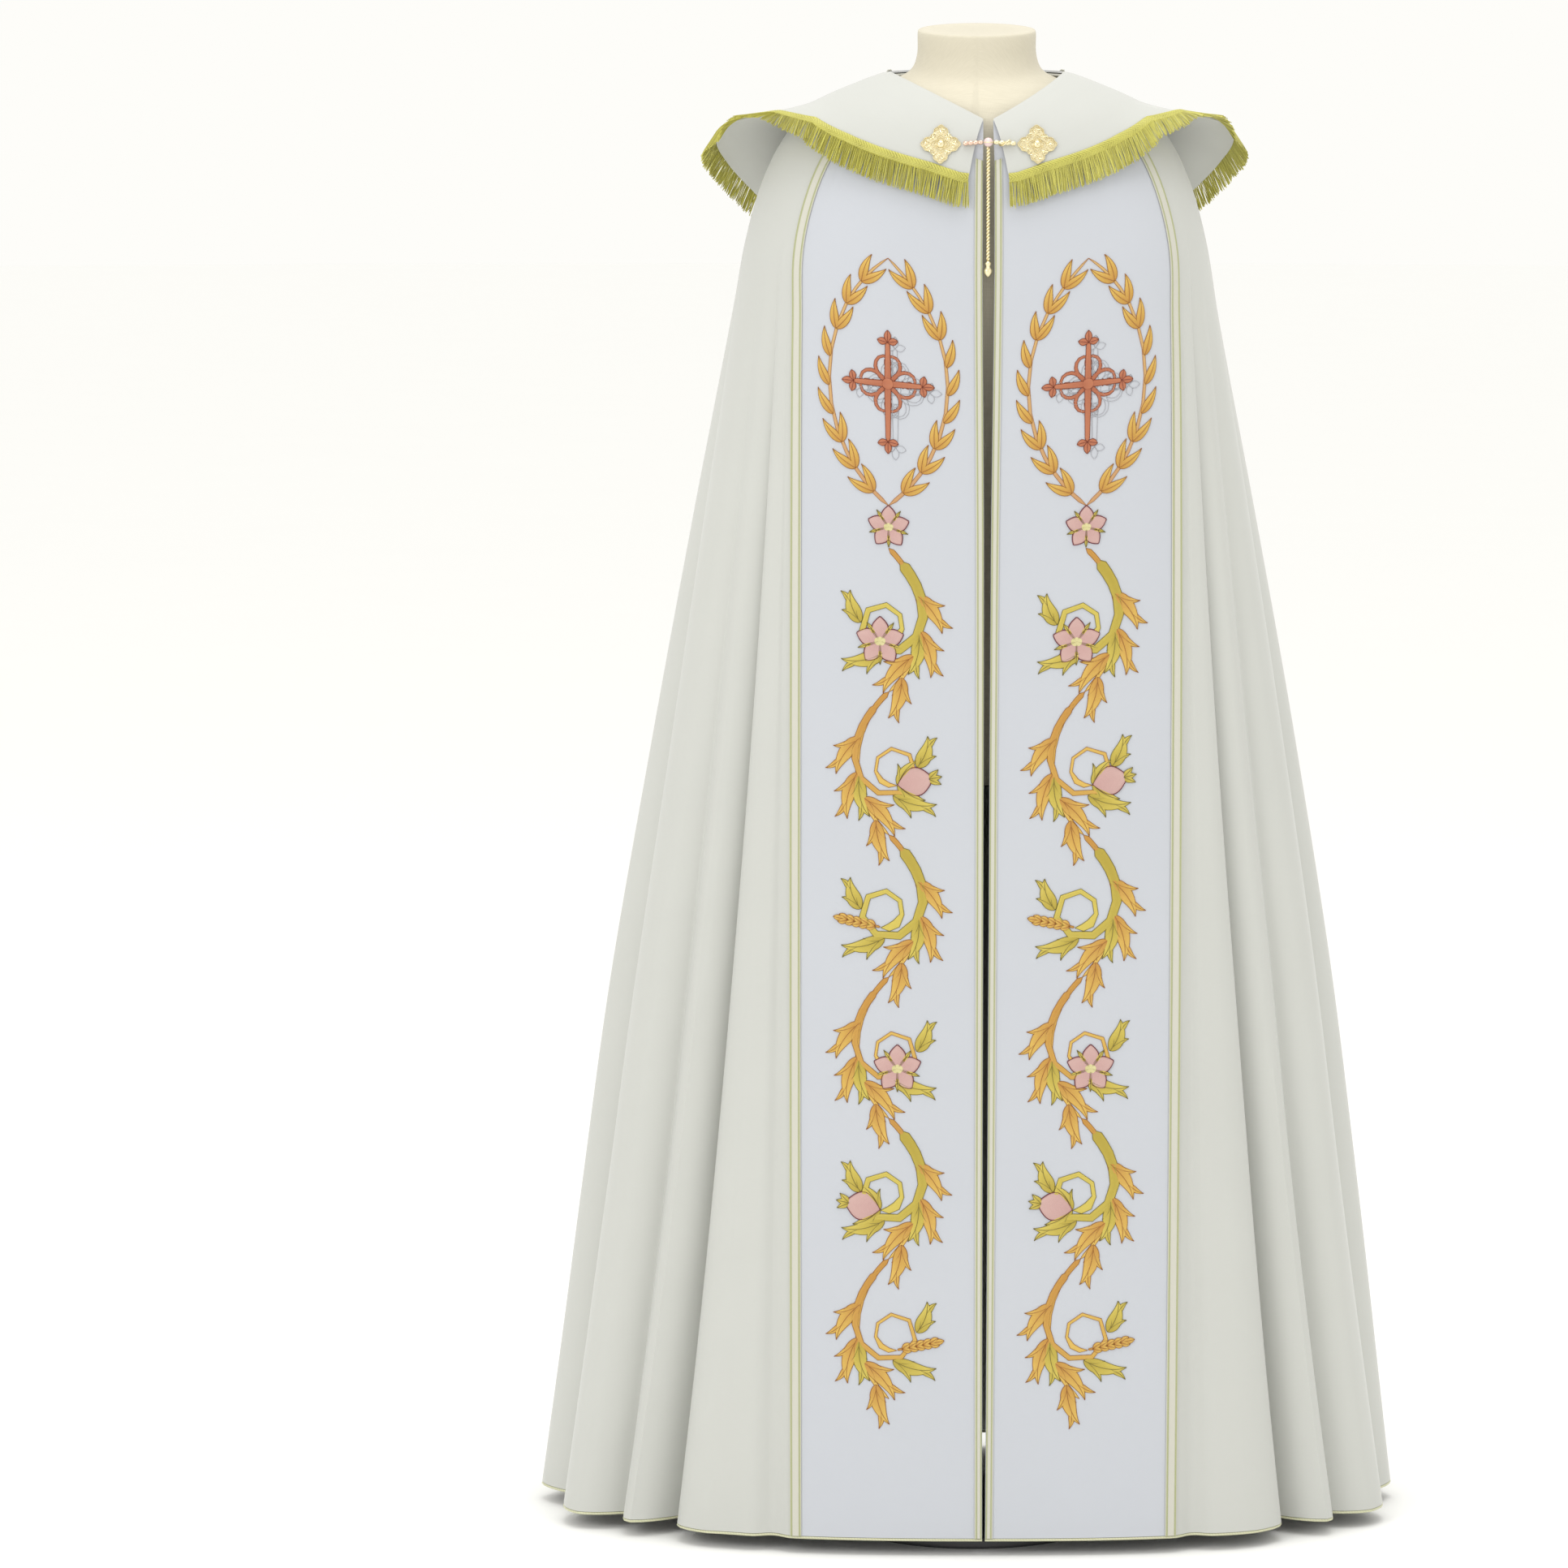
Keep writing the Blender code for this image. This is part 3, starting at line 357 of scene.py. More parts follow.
def carried(sections: Array, uv: Array, values: dict[str, Array] | None = None) -> Surface:
    """Closed bodies swept through rows of closed sections, capped at both ends.

    Args:
        sections: points by body, station and place round the section.
        uv: lengths along and round, by body, station and place.
        values: what each point carries, by name, in the same layout.

    Returns:
        One surface that holds all the bodies, their faces outwards.
    """
    bodies, stations, sides = sections.shape[:3]
    k = np.arange(bodies * stations * sides).reshape(bodies, stations, sides)
    across = np.roll(k, -1, axis=2)
    tube = quads(k[:, :-1], across[:, :-1], across[:, 1:], k[:, 1:])
    caps = np.concatenate([k[:, 0, ::-1], k[:, -1]])
    count = bodies * stations * sides
    flat = {key: value.reshape(count, -1).squeeze() for key, value in (values or {}).items()}
    made = Surface(sections.reshape(-1, 3), [tube, caps], uv.reshape(-1, 2), flat)
    return made.flipped_outwards()


def tubes(paths: Array, radius: Array, facing: Array, sides: int) -> Surface:
    """Round cords along paths, each section square to its path.

    Args:
        paths: points by cord and station.
        radius: radii by cord and station.
        facing: directions, not along the path, that the sections are turned from.
        sides: corners of the section.

    Returns:
        One surface that holds all the cords.
    """
    along = unit(np.gradient(paths, axis=1))
    side = unit(np.cross(along, facing))
    up = np.cross(side, along)
    turn = np.linspace(0, 2 * math.pi, sides, endpoint=False)
    ring = np.cos(turn)[:, None] * side[:, :, None] + np.sin(turn)[:, None] * up[:, :, None]
    sections = paths[:, :, None] + ring * radius[:, :, None, None]
    run = np.broadcast_to(arc_length(paths, axis=1)[:, :, None], sections.shape[:3])
    round_way = np.broadcast_to(turn / (2 * math.pi), sections.shape[:3])
    return carried(sections, np.stack([run, round_way], axis=-1))


def turned(profile: list[tuple[float, float]], centre: Array, axis: Array, sides: int) -> Surface:
    """A body turned round an axis, through a profile of radius and height along the axis.

    Args:
        profile: pairs of radius and height.
        centre: the point of the axis at height nought.
        axis: direction of the axis.
        sides: corners of each ring.

    Returns:
        The closed surface.
    """
    axis = unit(np.asarray(axis, dtype=float))
    side = unit(np.cross(axis, [0.31, 0.94, 0.13]))
    turn = np.linspace(0, 2 * math.pi, sides, endpoint=False)
    ring = np.cos(turn)[:, None] * side + np.sin(turn)[:, None] * np.cross(axis, side)
    table = np.array(profile)
    sections = np.asarray(centre) + ring[None] * table[:, :1, None] + axis * table[:, 1:, None]
    uv = np.stack(np.broadcast_arrays(turn[None] / (2 * math.pi), arc_length(table)[:, None]), axis=-1)
    return carried(sections[None], uv[None])


@dataclass(frozen=True)
class Shell:
    """The smooth form that the cloth follows: a superellipse round each ring of a table."""

    opening_shift: float = 0.009
    samples: int = 721

    @cached_property
    def table(self) -> Array:
        """The rings' heights, widths, depths and squareness, one row for each ring."""
        return np.array([ring[1:9] for ring in RINGS])

    def slit(self, rows: Array) -> Array:
        """Half the gap between the front edges at the given rows."""
        return hermite(np.array([ring.slit for ring in RINGS]), rows)

    def seam(self, rows: Array) -> Array:
        """Distance round the cloth from the front centre to the front band's outer seam."""
        return self.slit(rows) + hermite(np.array([ring.band for ring in RINGS]), rows)

    def point(self, angle: Array, rows: Array, side: int) -> Array:
        """Points of the shell: x and y of a superellipse at each angle, z mixed front, side, back.

        Args:
            angle: angle from the front centre, nought to pi.
            rows: fractional ring numbers from the neck down.
            side: LEFT or RIGHT.

        Returns:
            The points.
        """
        z_front, z_side, z_back, half_width, y_front, y_mid, y_back, square = np.moveaxis(
            hermite(self.table, rows), -1, 0
        )
        s, c = np.sin(angle), np.cos(angle)
        x = half_width * np.sign(s) * np.abs(s) ** (2 / square)
        reach = np.abs(c) ** (2 / square)
        y = np.where(c > 0, y_mid + (y_front - y_mid) * reach, y_mid + (y_back - y_mid) * reach)
        z = np.where(c > 0, z_front + (z_side - z_front) * s, z_side + (z_back - z_side) * c**2)
        return np.stack([side * x + self.opening_shift * np.clip(c, 0, 1) ** 2, y, z], axis=-1)

    def frame(self, angle: Array, rows: Array, side: int, step: float = 1e-3) -> tuple[Array, Array]:
        """Unit directions of the shell, by small differences: outward, and round towards the back.

        Args:
            angle: angle from the front centre.
            rows: fractional ring numbers.
            side: LEFT or RIGHT.
            step: the small difference.

        Returns:
            The outward directions and the directions round the shell.
        """
        rows = np.clip(rows, step, LAST_ROW - step)
        around = unit(self.point(angle + step, rows, side) - self.point(angle - step, rows, side))
        down = unit(self.point(angle, rows + step, side) - self.point(angle, rows - step, side))
        return unit(-side * np.cross(around, down)), around

    def angles_at(self, distance: Array, rows: Array, side: int) -> Array:
        """Angles at which the cloth has run the given distances round from the front centre.

        Args:
            distance: distances, one row of them for each shell row.
            rows: shell rows as a column.
            side: LEFT or RIGHT.

        Returns:
            The angles, one row for each shell row.
        """
        angle = np.linspace(0, math.pi, self.samples)
        run = arc_length(self.point(angle[None, :], rows, side), axis=1)
        wanted = np.broadcast_to(distance, np.broadcast_shapes(distance.shape, rows.shape))
        return np.stack([np.interp(w, r, angle) for w, r in zip(wanted, run)])

    def half_length(self, rows: Array, side: int) -> Array:
        """Length of each half ring, from the front centre to the centre of the back."""
        angle = np.linspace(0, math.pi, self.samples)
        return arc_length(self.point(angle[None, :], rows, side), axis=1)[:, -1:]

    def angle_at_width(self, x: Array, rows: Array, back: bool) -> Array:
        """Angles on the front or the back of the shell at a distance x from the middle plane."""
        ring = hermite(self.table, rows)
        found = np.arcsin(np.clip(x / ring[..., 3], 0, 1) ** (ring[..., 7] / 2))
        return math.pi - found if back else found


SHELL = Shell()


def linear(srgb: tuple[int, int, int]) -> Colour:
    """The linear value of an 8-bit sRGB colour."""
    value = np.array(srgb) / 255
    bright = ((value + 0.055) / 1.055) ** 2.4
    return tuple(float(v) for v in np.where(value <= 0.04045, value / 12.92, bright))


@dataclass
class Graph:
    """A material's nodes, with short calls that add them and link them up."""

    name: str

    def __post_init__(self) -> None:
        """Makes the material and keeps its tree and shader at hand."""
        self.material = bpy.data.materials.new(self.name)
        self.material.use_nodes = True
        self.tree = self.material.node_tree
        self.shader = self.tree.nodes["Principled BSDF"]

    def put(self, socket: bpy.types.NodeSocket, value: object) -> None:
        """Links a socket to another, or sets its value."""
        if isinstance(value, bpy.types.NodeSocket):
            self.tree.links.new(value, socket)
        elif value is not None:
            colour = isinstance(value, tuple) and len(socket.default_value) == 4
            socket.default_value = (*value, 1.0) if colour else value

    def math(self, operation: str, a: object, b: object = None) -> bpy.types.NodeSocket:
        """The result of a Math node on one or two values."""
        node = self.tree.nodes.new("ShaderNodeMath")
        node.operation = operation
        self.put(node.inputs[0], a)
        self.put(node.inputs[1], b)
        return node.outputs[0]

    def mix(self, factor: object, a: object, b: object, blend: str = "MIX") -> bpy.types.NodeSocket:
        """A colour mixed from two, by a factor from nought to one."""
        node = self.tree.nodes.new("ShaderNodeMix")
        node.data_type, node.blend_type = "RGBA", blend
        self.put(node.inputs["Factor"], factor)
        self.put(node.inputs[6], a)
        self.put(node.inputs[7], b)
        return node.outputs[2]

    def uv(self) -> tuple[bpy.types.NodeSocket, bpy.types.NodeSocket]:
        """The piece's own two lengths along its surface."""
        node = self.tree.nodes.new("ShaderNodeUVMap")
        node.uv_map = "UVMap"
        split = self.tree.nodes.new("ShaderNodeSeparateXYZ")
        self.tree.links.new(node.outputs[0], split.inputs[0])
        return split.outputs[0], split.outputs[1]

    def object_place(self) -> bpy.types.NodeSocket:
        """Object coordinates."""
        return self.tree.nodes.new("ShaderNodeTexCoord").outputs["Object"]

    def vector(self, x: object, y: object, z: object = 0.0) -> bpy.types.NodeSocket:
        """A vector out of three values."""
        node = self.tree.nodes.new("ShaderNodeCombineXYZ")
        for socket, value in zip(node.inputs, (x, y, z)):
            self.put(socket, value)
        return node.outputs[0]

    def noise(self, place: object, scale: float, detail: float = 2.0) -> bpy.types.NodeSocket:
        """Noise from nought to one at a place."""
        node = self.tree.nodes.new("ShaderNodeTexNoise")
        node.inputs["Scale"].default_value = scale
        node.inputs["Detail"].default_value = detail
        self.put(node.inputs["Vector"], place)
        return node.outputs["Fac"]

    def carried(self, name: str, colour: bool = False) -> bpy.types.NodeSocket:
        """A value or a colour that the piece's points carry."""
        node = self.tree.nodes.new("ShaderNodeAttribute")
        node.attribute_name = name
        return node.outputs["Color" if colour else "Fac"]

    def waves(self, along: object, pitch: float) -> bpy.types.NodeSocket:
        """Round ridges from nought to one across a length, one in each pitch."""
        turn = self.math("MULTIPLY", along, 2 * math.pi / pitch)
        return self.math("MULTIPLY", self.math("ADD", self.math("SINE", turn), 1.0), 0.5)

    def bump(self, height: object, depth: float, strength: float) -> None:
        """Lets a height from nought to one tilt the surface, with its depth in metres."""
        node = self.tree.nodes.new("ShaderNodeBump")
        node.inputs["Distance"].default_value = depth
        node.inputs["Strength"].default_value = strength
        self.put(node.inputs["Height"], height)
        self.put(self.shader.inputs["Normal"], node.outputs[0])

    def set(self, **sockets: object) -> None:
        """Sets shader inputs by name, with underscores for spaces."""
        for name, value in sockets.items():
            self.put(self.shader.inputs[name.replace("_", " ")], value)


@dataclass(frozen=True)
class Finish:
    """What every finish has: a name, the record's slot that it stands for, and its roughness."""

    name: str
    slot: str
    roughness: float

    @cached_property
    def material(self) -> bpy.types.Material:
        """The finish's material, made once."""
        graph = Graph(self.name)
        graph.set(Roughness=self.roughness)
        self.paint(graph)
        return graph.material

    def paint(self, graph: Graph) -> None:
        """Sets the shader's inputs; each kind of finish has its own."""
        raise NotImplementedError


@dataclass(frozen=True)
class ClothFinish(Finish):
    """Silk cloth: two sets of fine threads, uneven slubs and a soft sheen."""

    colour: Colour
    shade: Colour
    thread: float = 0.0007
    sheen: float = 0.25

    def paint(self, graph: Graph) -> None:
        """Crosses two waves for the weave and mixes the colour by broad and stretched noise."""
        u, v = graph.uv()
        broad = graph.noise(graph.vector(u, v), 7.0)
        yarns = graph.vector(graph.math("MULTIPLY", u, 90.0), graph.math("MULTIPLY", v, 900.0))
        slub = graph.noise(yarns, 1.0)
        amount = graph.math("ADD", graph.math("MULTIPLY", broad, 0.5), graph.math("MULTIPLY", slub, 0.35))
        graph.set(Base_Color=graph.mix(amount, self.colour, self.shade))
        weave = graph.math("MULTIPLY", graph.waves(u, self.thread), graph.waves(v, self.thread))
        height = graph.math("ADD", graph.math("MULTIPLY", weave, 0.6), graph.math("MULTIPLY", slub, 0.4))
        graph.bump(height, 0.00010, 0.35)
        graph.set(Sheen_Weight=self.sheen, Sheen_Roughness=0.45, Specular_IOR_Level=0.35)


@dataclass(frozen=True)
class ThreadFinish(Finish):
    """Satin stitch: slanting threads in the colour that the points carry."""

    thread: float = 0.00055
    slant: float = 0.6

    def paint(self, graph: Graph) -> None:
        """Runs waves across a slanted length and paints shade into the grooves between the threads."""
        u, v = graph.uv()
        slanted = graph.math("ADD", u, graph.math("MULTIPLY", graph.math("ABSOLUTE", v), self.slant))
        ridge = graph.waves(slanted, self.thread)
        strokes = graph.vector(graph.math("MULTIPLY", slanted, 1500.0), graph.math("MULTIPLY", v, 120.0))
        uneven = graph.noise(strokes, 1.0)
        dye = graph.carried("dye", colour=True)
        # painted shade: the thread's colour multiplied towards brown, mixed into the grooves between the
        # stitches' ridges
        groove_shade_colour = graph.mix(1.0, dye, (0.62, 0.56, 0.50), "MULTIPLY")
        shadow = graph.math("MULTIPLY", graph.math("SUBTRACT", 1.0, ridge), graph.math("ADD", uneven, 0.25))
        graph.set(Base_Color=graph.mix(graph.math("MULTIPLY", shadow, 0.55), dye, groove_shade_colour))
        graph.bump(graph.math("ADD", ridge, graph.math("MULTIPLY", uneven, 0.5)), 0.00012, 0.5)
        graph.set(Sheen_Weight=0.15, Sheen_Roughness=0.3, Specular_IOR_Level=0.55)


@dataclass(frozen=True)
class TwistFinish(Finish):
    """Twisted yarn in two tones, which each yarn mixes in its own way; the darker tone is also painted shade
    in the grooves of the twist.
    """

    colour: Colour
    shade: Colour
    pitch: float = 0.0016
    metallic: float = 0.0

    def paint(self, graph: Graph) -> None:
        """Winds a wave round and along each yarn, mixes the tones by yarn and noise, and paints shade into
        the grooves where the wave is low.
        """
        u, v = graph.uv()
        wound = graph.math("ADD", u, graph.math("MULTIPLY", v, self.pitch))
        ridge = graph.waves(wound, self.pitch)
        # the carried value is each yarn's own tone on the yarns and the hem cord, and painted shade in the
        # plait's valleys on the fringe header
        own = graph.carried("yarn")
        grain = graph.noise(graph.object_place(), 260.0)
        amount = graph.math("ADD", graph.math("MULTIPLY", own, 0.6), graph.math("MULTIPLY", grain, 0.35))
        # painted shade: the darker tone is pushed into the twist's grooves, where the wave is low
        tone_and_groove_shade = graph.math("SUBTRACT", amount, graph.math("MULTIPLY", ridge, 0.3))
        graph.set(Base_Color=graph.mix(graph.math("MAXIMUM", tone_and_groove_shade, 0.0), self.colour, self.shade))
        graph.bump(ridge, 0.00015, 0.6)
        graph.set(Sheen_Weight=0.2, Sheen_Roughness=0.35, Metallic=self.metallic)


@dataclass(frozen=True)
class GalloonFinish(Finish):
    """Woven braid: beige ribs between lines of pale gold and green metal thread."""

    beige: Colour
    line: Colour
    shade: Colour

    def paint(self, graph: Graph) -> None:
        """Mixes beige and thread by the line that the points carry, with ribs across the braid; the metal
        thread takes painted shade in the grooves between the ribs, varied by noise.
        """
        u, v = graph.uv()
        line = graph.carried("line")
        rib = graph.waves(graph.math("ADD", u, graph.math("MULTIPLY", v, 0.7)), 0.0012)
        grain = graph.noise(graph.object_place(), 900.0)
        # painted shade: the thread runs from the line tone on the rib crests to the shade tone in the
        # grooves, with noise
        thread = graph.mix(graph.math("MULTIPLY", graph.math("ADD", rib, grain), 0.5), self.shade, self.line)
        graph.set(Base_Color=graph.mix(line, self.beige, thread))
        graph.set(Metallic=graph.math("MULTIPLY", line, 0.2))
        graph.bump(rib, 0.00012, 0.6)
        graph.set(Sheen_Weight=0.15, Sheen_Roughness=0.4)


@dataclass(frozen=True)
class MetalFinish(Finish):
    """Cast and polished metal, a little uneven in tone."""

    colour: Colour
    shade: Colour

    def paint(self, graph: Graph) -> None:
        """Mixes two tones by fine noise, and lets the same noise tilt the surface."""
        grain = graph.noise(graph.object_place(), 420.0, 4.0)
        graph.set(Base_Color=graph.mix(grain, self.colour, self.shade), Metallic=1.0)
        graph.bump(grain, 0.0002, 0.35)


@dataclass(frozen=True)
class StoneFinish(Finish):
    """A polished pale stone with faint clouds in it."""

    colour: Colour
    shade: Colour

    def paint(self, graph: Graph) -> None:
        """Mixes two tones by noise under a clear coat."""
        cloud = graph.noise(graph.object_place(), 300.0, 3.0)
        graph.set(Base_Color=graph.mix(cloud, self.colour, self.shade), Coat_Weight=0.6, Coat_Roughness=0.08)


@dataclass(frozen=True)
class LinenFinish(Finish):
    """Plain linen stretched over the form: coarse threads with slubs."""

    colour: Colour
    shade: Colour

    def paint(self, graph: Graph) -> None:
        """Crosses two waves in the form's own lengths and mixes the tones by stretched noise and by the
        weave, which paints shade into the gaps between the threads.
        """
        u, v = graph.uv()
        weave = graph.math("MULTIPLY", graph.waves(u, 0.0011), graph.waves(v, 0.0011))
        yarns = graph.vector(graph.math("MULTIPLY", u, 60.0), graph.math("MULTIPLY", v, 600.0))
        slub = graph.noise(yarns, 1.0, 3.0)
        # partly slub tone, partly painted shade: the gaps between the woven threads take the darker tone
        amount = graph.math("ADD", graph.math("MULTIPLY", weave, 0.35), graph.math("MULTIPLY", slub, 0.6))
        graph.set(Base_Color=graph.mix(amount, self.shade, self.colour))
        graph.bump(graph.math("ADD", weave, slub), 0.00018, 0.5)
        graph.set(Sheen_Weight=0.2, Sheen_Roughness=0.5)


@dataclass(frozen=True)
class PaintFinish(Finish):
    """Satin paint on steel or on a studio surface."""

    colour: Colour
    shade: Colour
    grain: float = 500.0

    def paint(self, graph: Graph) -> None:
        """Mixes two near tones by noise and lets it tilt the surface a little."""
        grain = graph.noise(graph.object_place(), self.grain)
        graph.set(Base_Color=graph.mix(grain, self.colour, self.shade))
        graph.bump(grain, 0.0001, 0.15)


CREAM = ClothFinish("cream_silk", "cream_cloth", 0.62, linear((195, 196, 191)), linear((188, 189, 184)))
WHITE = ClothFinish("white_silk", "white_cloth", 0.58, linear((191, 194, 200)), linear((185, 188, 195)))
STITCH = ThreadFinish("satin_stitch", "galloon", 0.42)
OUTLINE = ThreadFinish("outline_cord", "galloon", 0.5, 0.0009, 0.0)
# the fringe's second colour is the yarns' darker tone and also painted shade in the grooves and in the
# header's valleys
FRINGE = TwistFinish("fringe_yarn", "fringe", 0.45, linear((204, 200, 98)), linear((134, 126, 42)))
GALLOON = GalloonFinish(
    "galloon_braid",
    "galloon",
    0.45,
    linear((198, 196, 184)),
    linear((178, 182, 140)),
    # painted shade colour, laid into the grooves between the braid's ribs
    linear((146, 150, 108)),
)
# the hem cord's second colour is partly its tone and partly painted shade in the grooves of its twist
PIPING = TwistFinish(
    "hem_cord", "galloon", 0.42, linear((206, 206, 176)), linear((176, 178, 138)), 0.003, 0.15
)
GOLD = MetalFinish("pale_gold_metal", "pale_gold", 0.3, linear((246, 238, 206)), linear((226, 210, 162)))
ROSE = MetalFinish("rose_gold_metal", "pale_gold", 0.3, linear((240, 214, 196)), linear((218, 182, 160)))
STONE = StoneFinish("pink_stone", "pink_stone", 0.14, linear((232, 214, 212)), linear((214, 178, 176)))
LINEN = LinenFinish("form_linen", "form_linen", 0.85, linear((222, 215, 196)), linear((196, 189, 168)))
STEEL = PaintFinish("stand_paint", "stand_steel", 0.4, linear((70, 70, 72)), linear((56, 56, 58)))
FLOOR = PaintFinish("studio_floor", "", 0.9, linear((255, 255, 254)), linear((254, 254, 253)), 3.0)


def dressed(piece: bpy.types.Object, finish: Finish, *nodes: str) -> bpy.types.Object:
    """Hides the solids that a piece stands for and gives the piece back."""
    if nodes:
        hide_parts(*nodes)
    return piece


@dataclass
class Mantle:
    """The body of the cope: one cream cloth, folded, from one front band's seam to the other's."""

    rows: int = 96
    columns: int = 205
    fold_top: float = 1.36
    growth: float = 1.1
    depth_room: float = 1.25
    lean_room: float = 0.28
    ripple: float = 0.0022
    piping: float = 0.0015

    def down(self) -> Array:
        """Row numbers from neck to hem, closer together over the shoulder."""
        share = np.linspace(0, 1, self.rows)
        return (LAST_ROW * (0.55 * share + 0.45 * share**2))[:, None]

    def places(self) -> Array:
        """Places round the hem, nought at the seam and one at the back, denser at every fold."""
        place = np.linspace(0, 1, 4001)
        near = sum(np.exp(-(((place - f.place_hem) / (0.3 * f.half_width)) ** 2)) for f in FOLDS)
        run = np.cumsum(1 + 2.2 * near)
        return np.interp(np.linspace(0, 1, self.columns), (run - run[0]) / (run[-1] - run[0]), place)

    def half(self, side: int) -> tuple[Array, Array]:
        """One half of the folded cloth.

        A fold presses the shell inwards by its depth times a hump that is sharp at its centre, and
        leans the cloth next to it over the hollow; both grow from the fold's start down to the hem.

        Args:
            side: LEFT or RIGHT.

        Returns:
            The cloth's middle points and the outward directions of the shell, by row and column.
        """
        rows, columns = self.down(), self.places()
        height = hermite(SHELL.table, rows)[..., 1]
        hem = RINGS[-1].z_side
        run = np.clip((self.fold_top - height) / (self.fold_top - hem), 0, 1)
        hem_places = np.array([0.0, *(f.place_hem for f in FOLDS), 1.0])
        top_places = np.array([0.0, *(f.place_top for f in FOLDS), 1.0])
        ease = np.array([1.0, *(f.ease for f in FOLDS), 1.0])
        place = np.array(
            [
                np.interp(columns, hem_places, top_places + (hem_places - top_places) * r**ease)
                for r in run[:, 0]
            ]
        )
        seam = SHELL.seam(rows) + GAP
        along = place * (SHELL.half_length(rows, side) - seam)
        angle = SHELL.angles_at(seam + along, rows, side)
        grid = np.broadcast_to(rows, angle.shape)
        outward, around = SHELL.frame(angle, grid, side)
        stretch = np.gradient(along, columns, axis=1)
        depth, lean = np.zeros(angle.shape), np.zeros(angle.shape)
        for fold in FOLDS:
            centre = int(np.argmin(np.abs(columns - fold.place_hem)))
            room = fold.half_width * stretch[:, centre : centre + 1]
            away = (columns[None, :] - fold.place_hem) / fold.half_width
            grown = np.clip((fold.starts - height) / (fold.starts - hem), 0, 1) ** self.growth
            near = np.clip(1.05 - np.sqrt(away**2 + 0.0025), 0, 1)
            soft = np.sin(np.clip(near, 0, 1) * math.pi / 2) ** 2
            shape = fold.sharp * near**1.5 + (1 - fold.sharp) * soft
            depth = np.maximum(depth, np.minimum(fold.depth * grown, self.depth_room * room) * shape)
            over = np.sin(math.pi * np.clip((-away - 0.2) / 0.8, 0, 1))
            lean += np.minimum(fold.lean * grown, self.lean_room * room) * over
        ripple = np.sin(place * 47 + side) + 0.6 * np.sin(place * 83 + 2.1 * side + 3 * run)
        edge = np.clip(np.minimum(columns, 1.2 - columns) / 0.06, 0, 1)
        depth = depth + self.ripple * run * (ripple * 0.5 + 0.5) * edge
        inward = -unit(outward * np.array([1, 1, 0]))
        moved = SHELL.point(angle, grid, side) + inward * depth[..., None] + around * lean[..., None]
        return moved, outward

    def build(self) -> tuple[Array, Array]:
        """Returns:
            The hem's points and outward directions, from the right seam round to the left one.
        """
        halves = {side: self.half(side) for side in (LEFT, RIGHT)}
        points = np.concatenate([halves[RIGHT][0], halves[LEFT][0][:, -2::-1]], axis=1)
        guide = np.concatenate([halves[RIGHT][1], halves[LEFT][1][:, -2::-1]], axis=1)
        folded = unit(-np.cross(np.gradient(points, axis=1), np.gradient(points, axis=0)))
        height = hermite(SHELL.table, self.down())[..., 1]
        creased = np.clip((self.fold_top + 0.02 - height) / 0.04, 0, 1)[..., None]
        normal = unit(creased * folded + (1 - creased) * guide)
        normal[:, 0], normal[:, -1] = guide[:, 0], guide[:, -1]
        normal[-1] = unit(normal[-1] * np.array([1, 1, 0]))
        uv = np.stack([arc_length(points, 1), arc_length(points, 0)], axis=-1)
        cloth = wall(points + normal * CLOTH / 2, points - normal * CLOTH / 2, uv)
        self.piece = dressed(cloth.make("mantle", CREAM), CREAM, "mantle_body")
        return points[-1], normal[-1]

    def build_piping(self, hem: tuple[Array, Array], fronts: dict[int, tuple[Array, Array]]) -> None:
        """Makes the cord under the whole hem: a circle carried along it, a cord's radius below.

        Args:
            hem: the body's hem, as build gives it.
            fronts: the hem points and directions of the front bands, by side.
        """
        right, left = fronts[RIGHT], fronts[LEFT]
        line = np.concatenate([right[0][:-1], hem[0], left[0][-2::-1]])
        out = np.concatenate([right[1][:-1], hem[1], left[1][-2::-1]])
        path = line - np.array([0, 0, GAP + self.piping])
        radius = np.full((1, len(path)), self.piping)
        cord = tubes(path[None], radius, out[None], 8)
        cord.values["yarn"] = np.full(len(cord.points), 0.4)
        self.cord = dressed(cord.make("hem_cord", PIPING, 60), PIPING, "hem_piping")


@dataclass
class Strip:
    """A galloon laid on cloth: two raised lines of metal thread with beige ribs between them."""

    width: float
    lines: tuple[float, ...]
    line_half: float
    base: float = 0.0006
    ridge: float = 0.0007
    columns: int = 17

    def shares(self) -> Array:
        """Places across the braid, nought to one."""
        return np.linspace(0, 1, self.columns)

    def build(
        self, name: str, points: Array, outward: Array, node: str, lift: float = CLOTH / 2 + 2 * GAP
    ) -> bpy.types.Object:
        """Makes the braid: its height is the base plus a round ridge over each line.

        Args:
            name: the piece's name.
            points: grid of the cloth's middle points under the braid, by row and place across.
            outward: directions out of the cloth there.
            node: the solid that it stands for.
            lift: how far its underside lies from the cloth's middle.

        Returns:
            The braid.
        """
        across = (self.shares() - 0.5) * self.width
        near = sum(np.clip(1 - ((across - line) / self.line_half) ** 2, 0, 1) for line in self.lines)
        height = self.base + self.ridge * np.sqrt(near)
        uv = np.stack(np.broadcast_arrays(arc_length(points, 0), across[None, :]), axis=-1)
        line = np.broadcast_to(np.clip(near * 2, 0, 1), points.shape[:2])
        top = points + outward * (lift + height)[None, :, None]
        made = wall(top, points + outward * lift, uv, {"line": line})
        return dressed(made.make(name, GALLOON, 50), GALLOON, node)


SEAM_BRAID = Strip(0.012, (-0.0044, 0.0044), 0.0011, columns=21)
EDGE_BRAID = Strip(0.008, (-0.0030, 0.0022), 0.0009, columns=17)


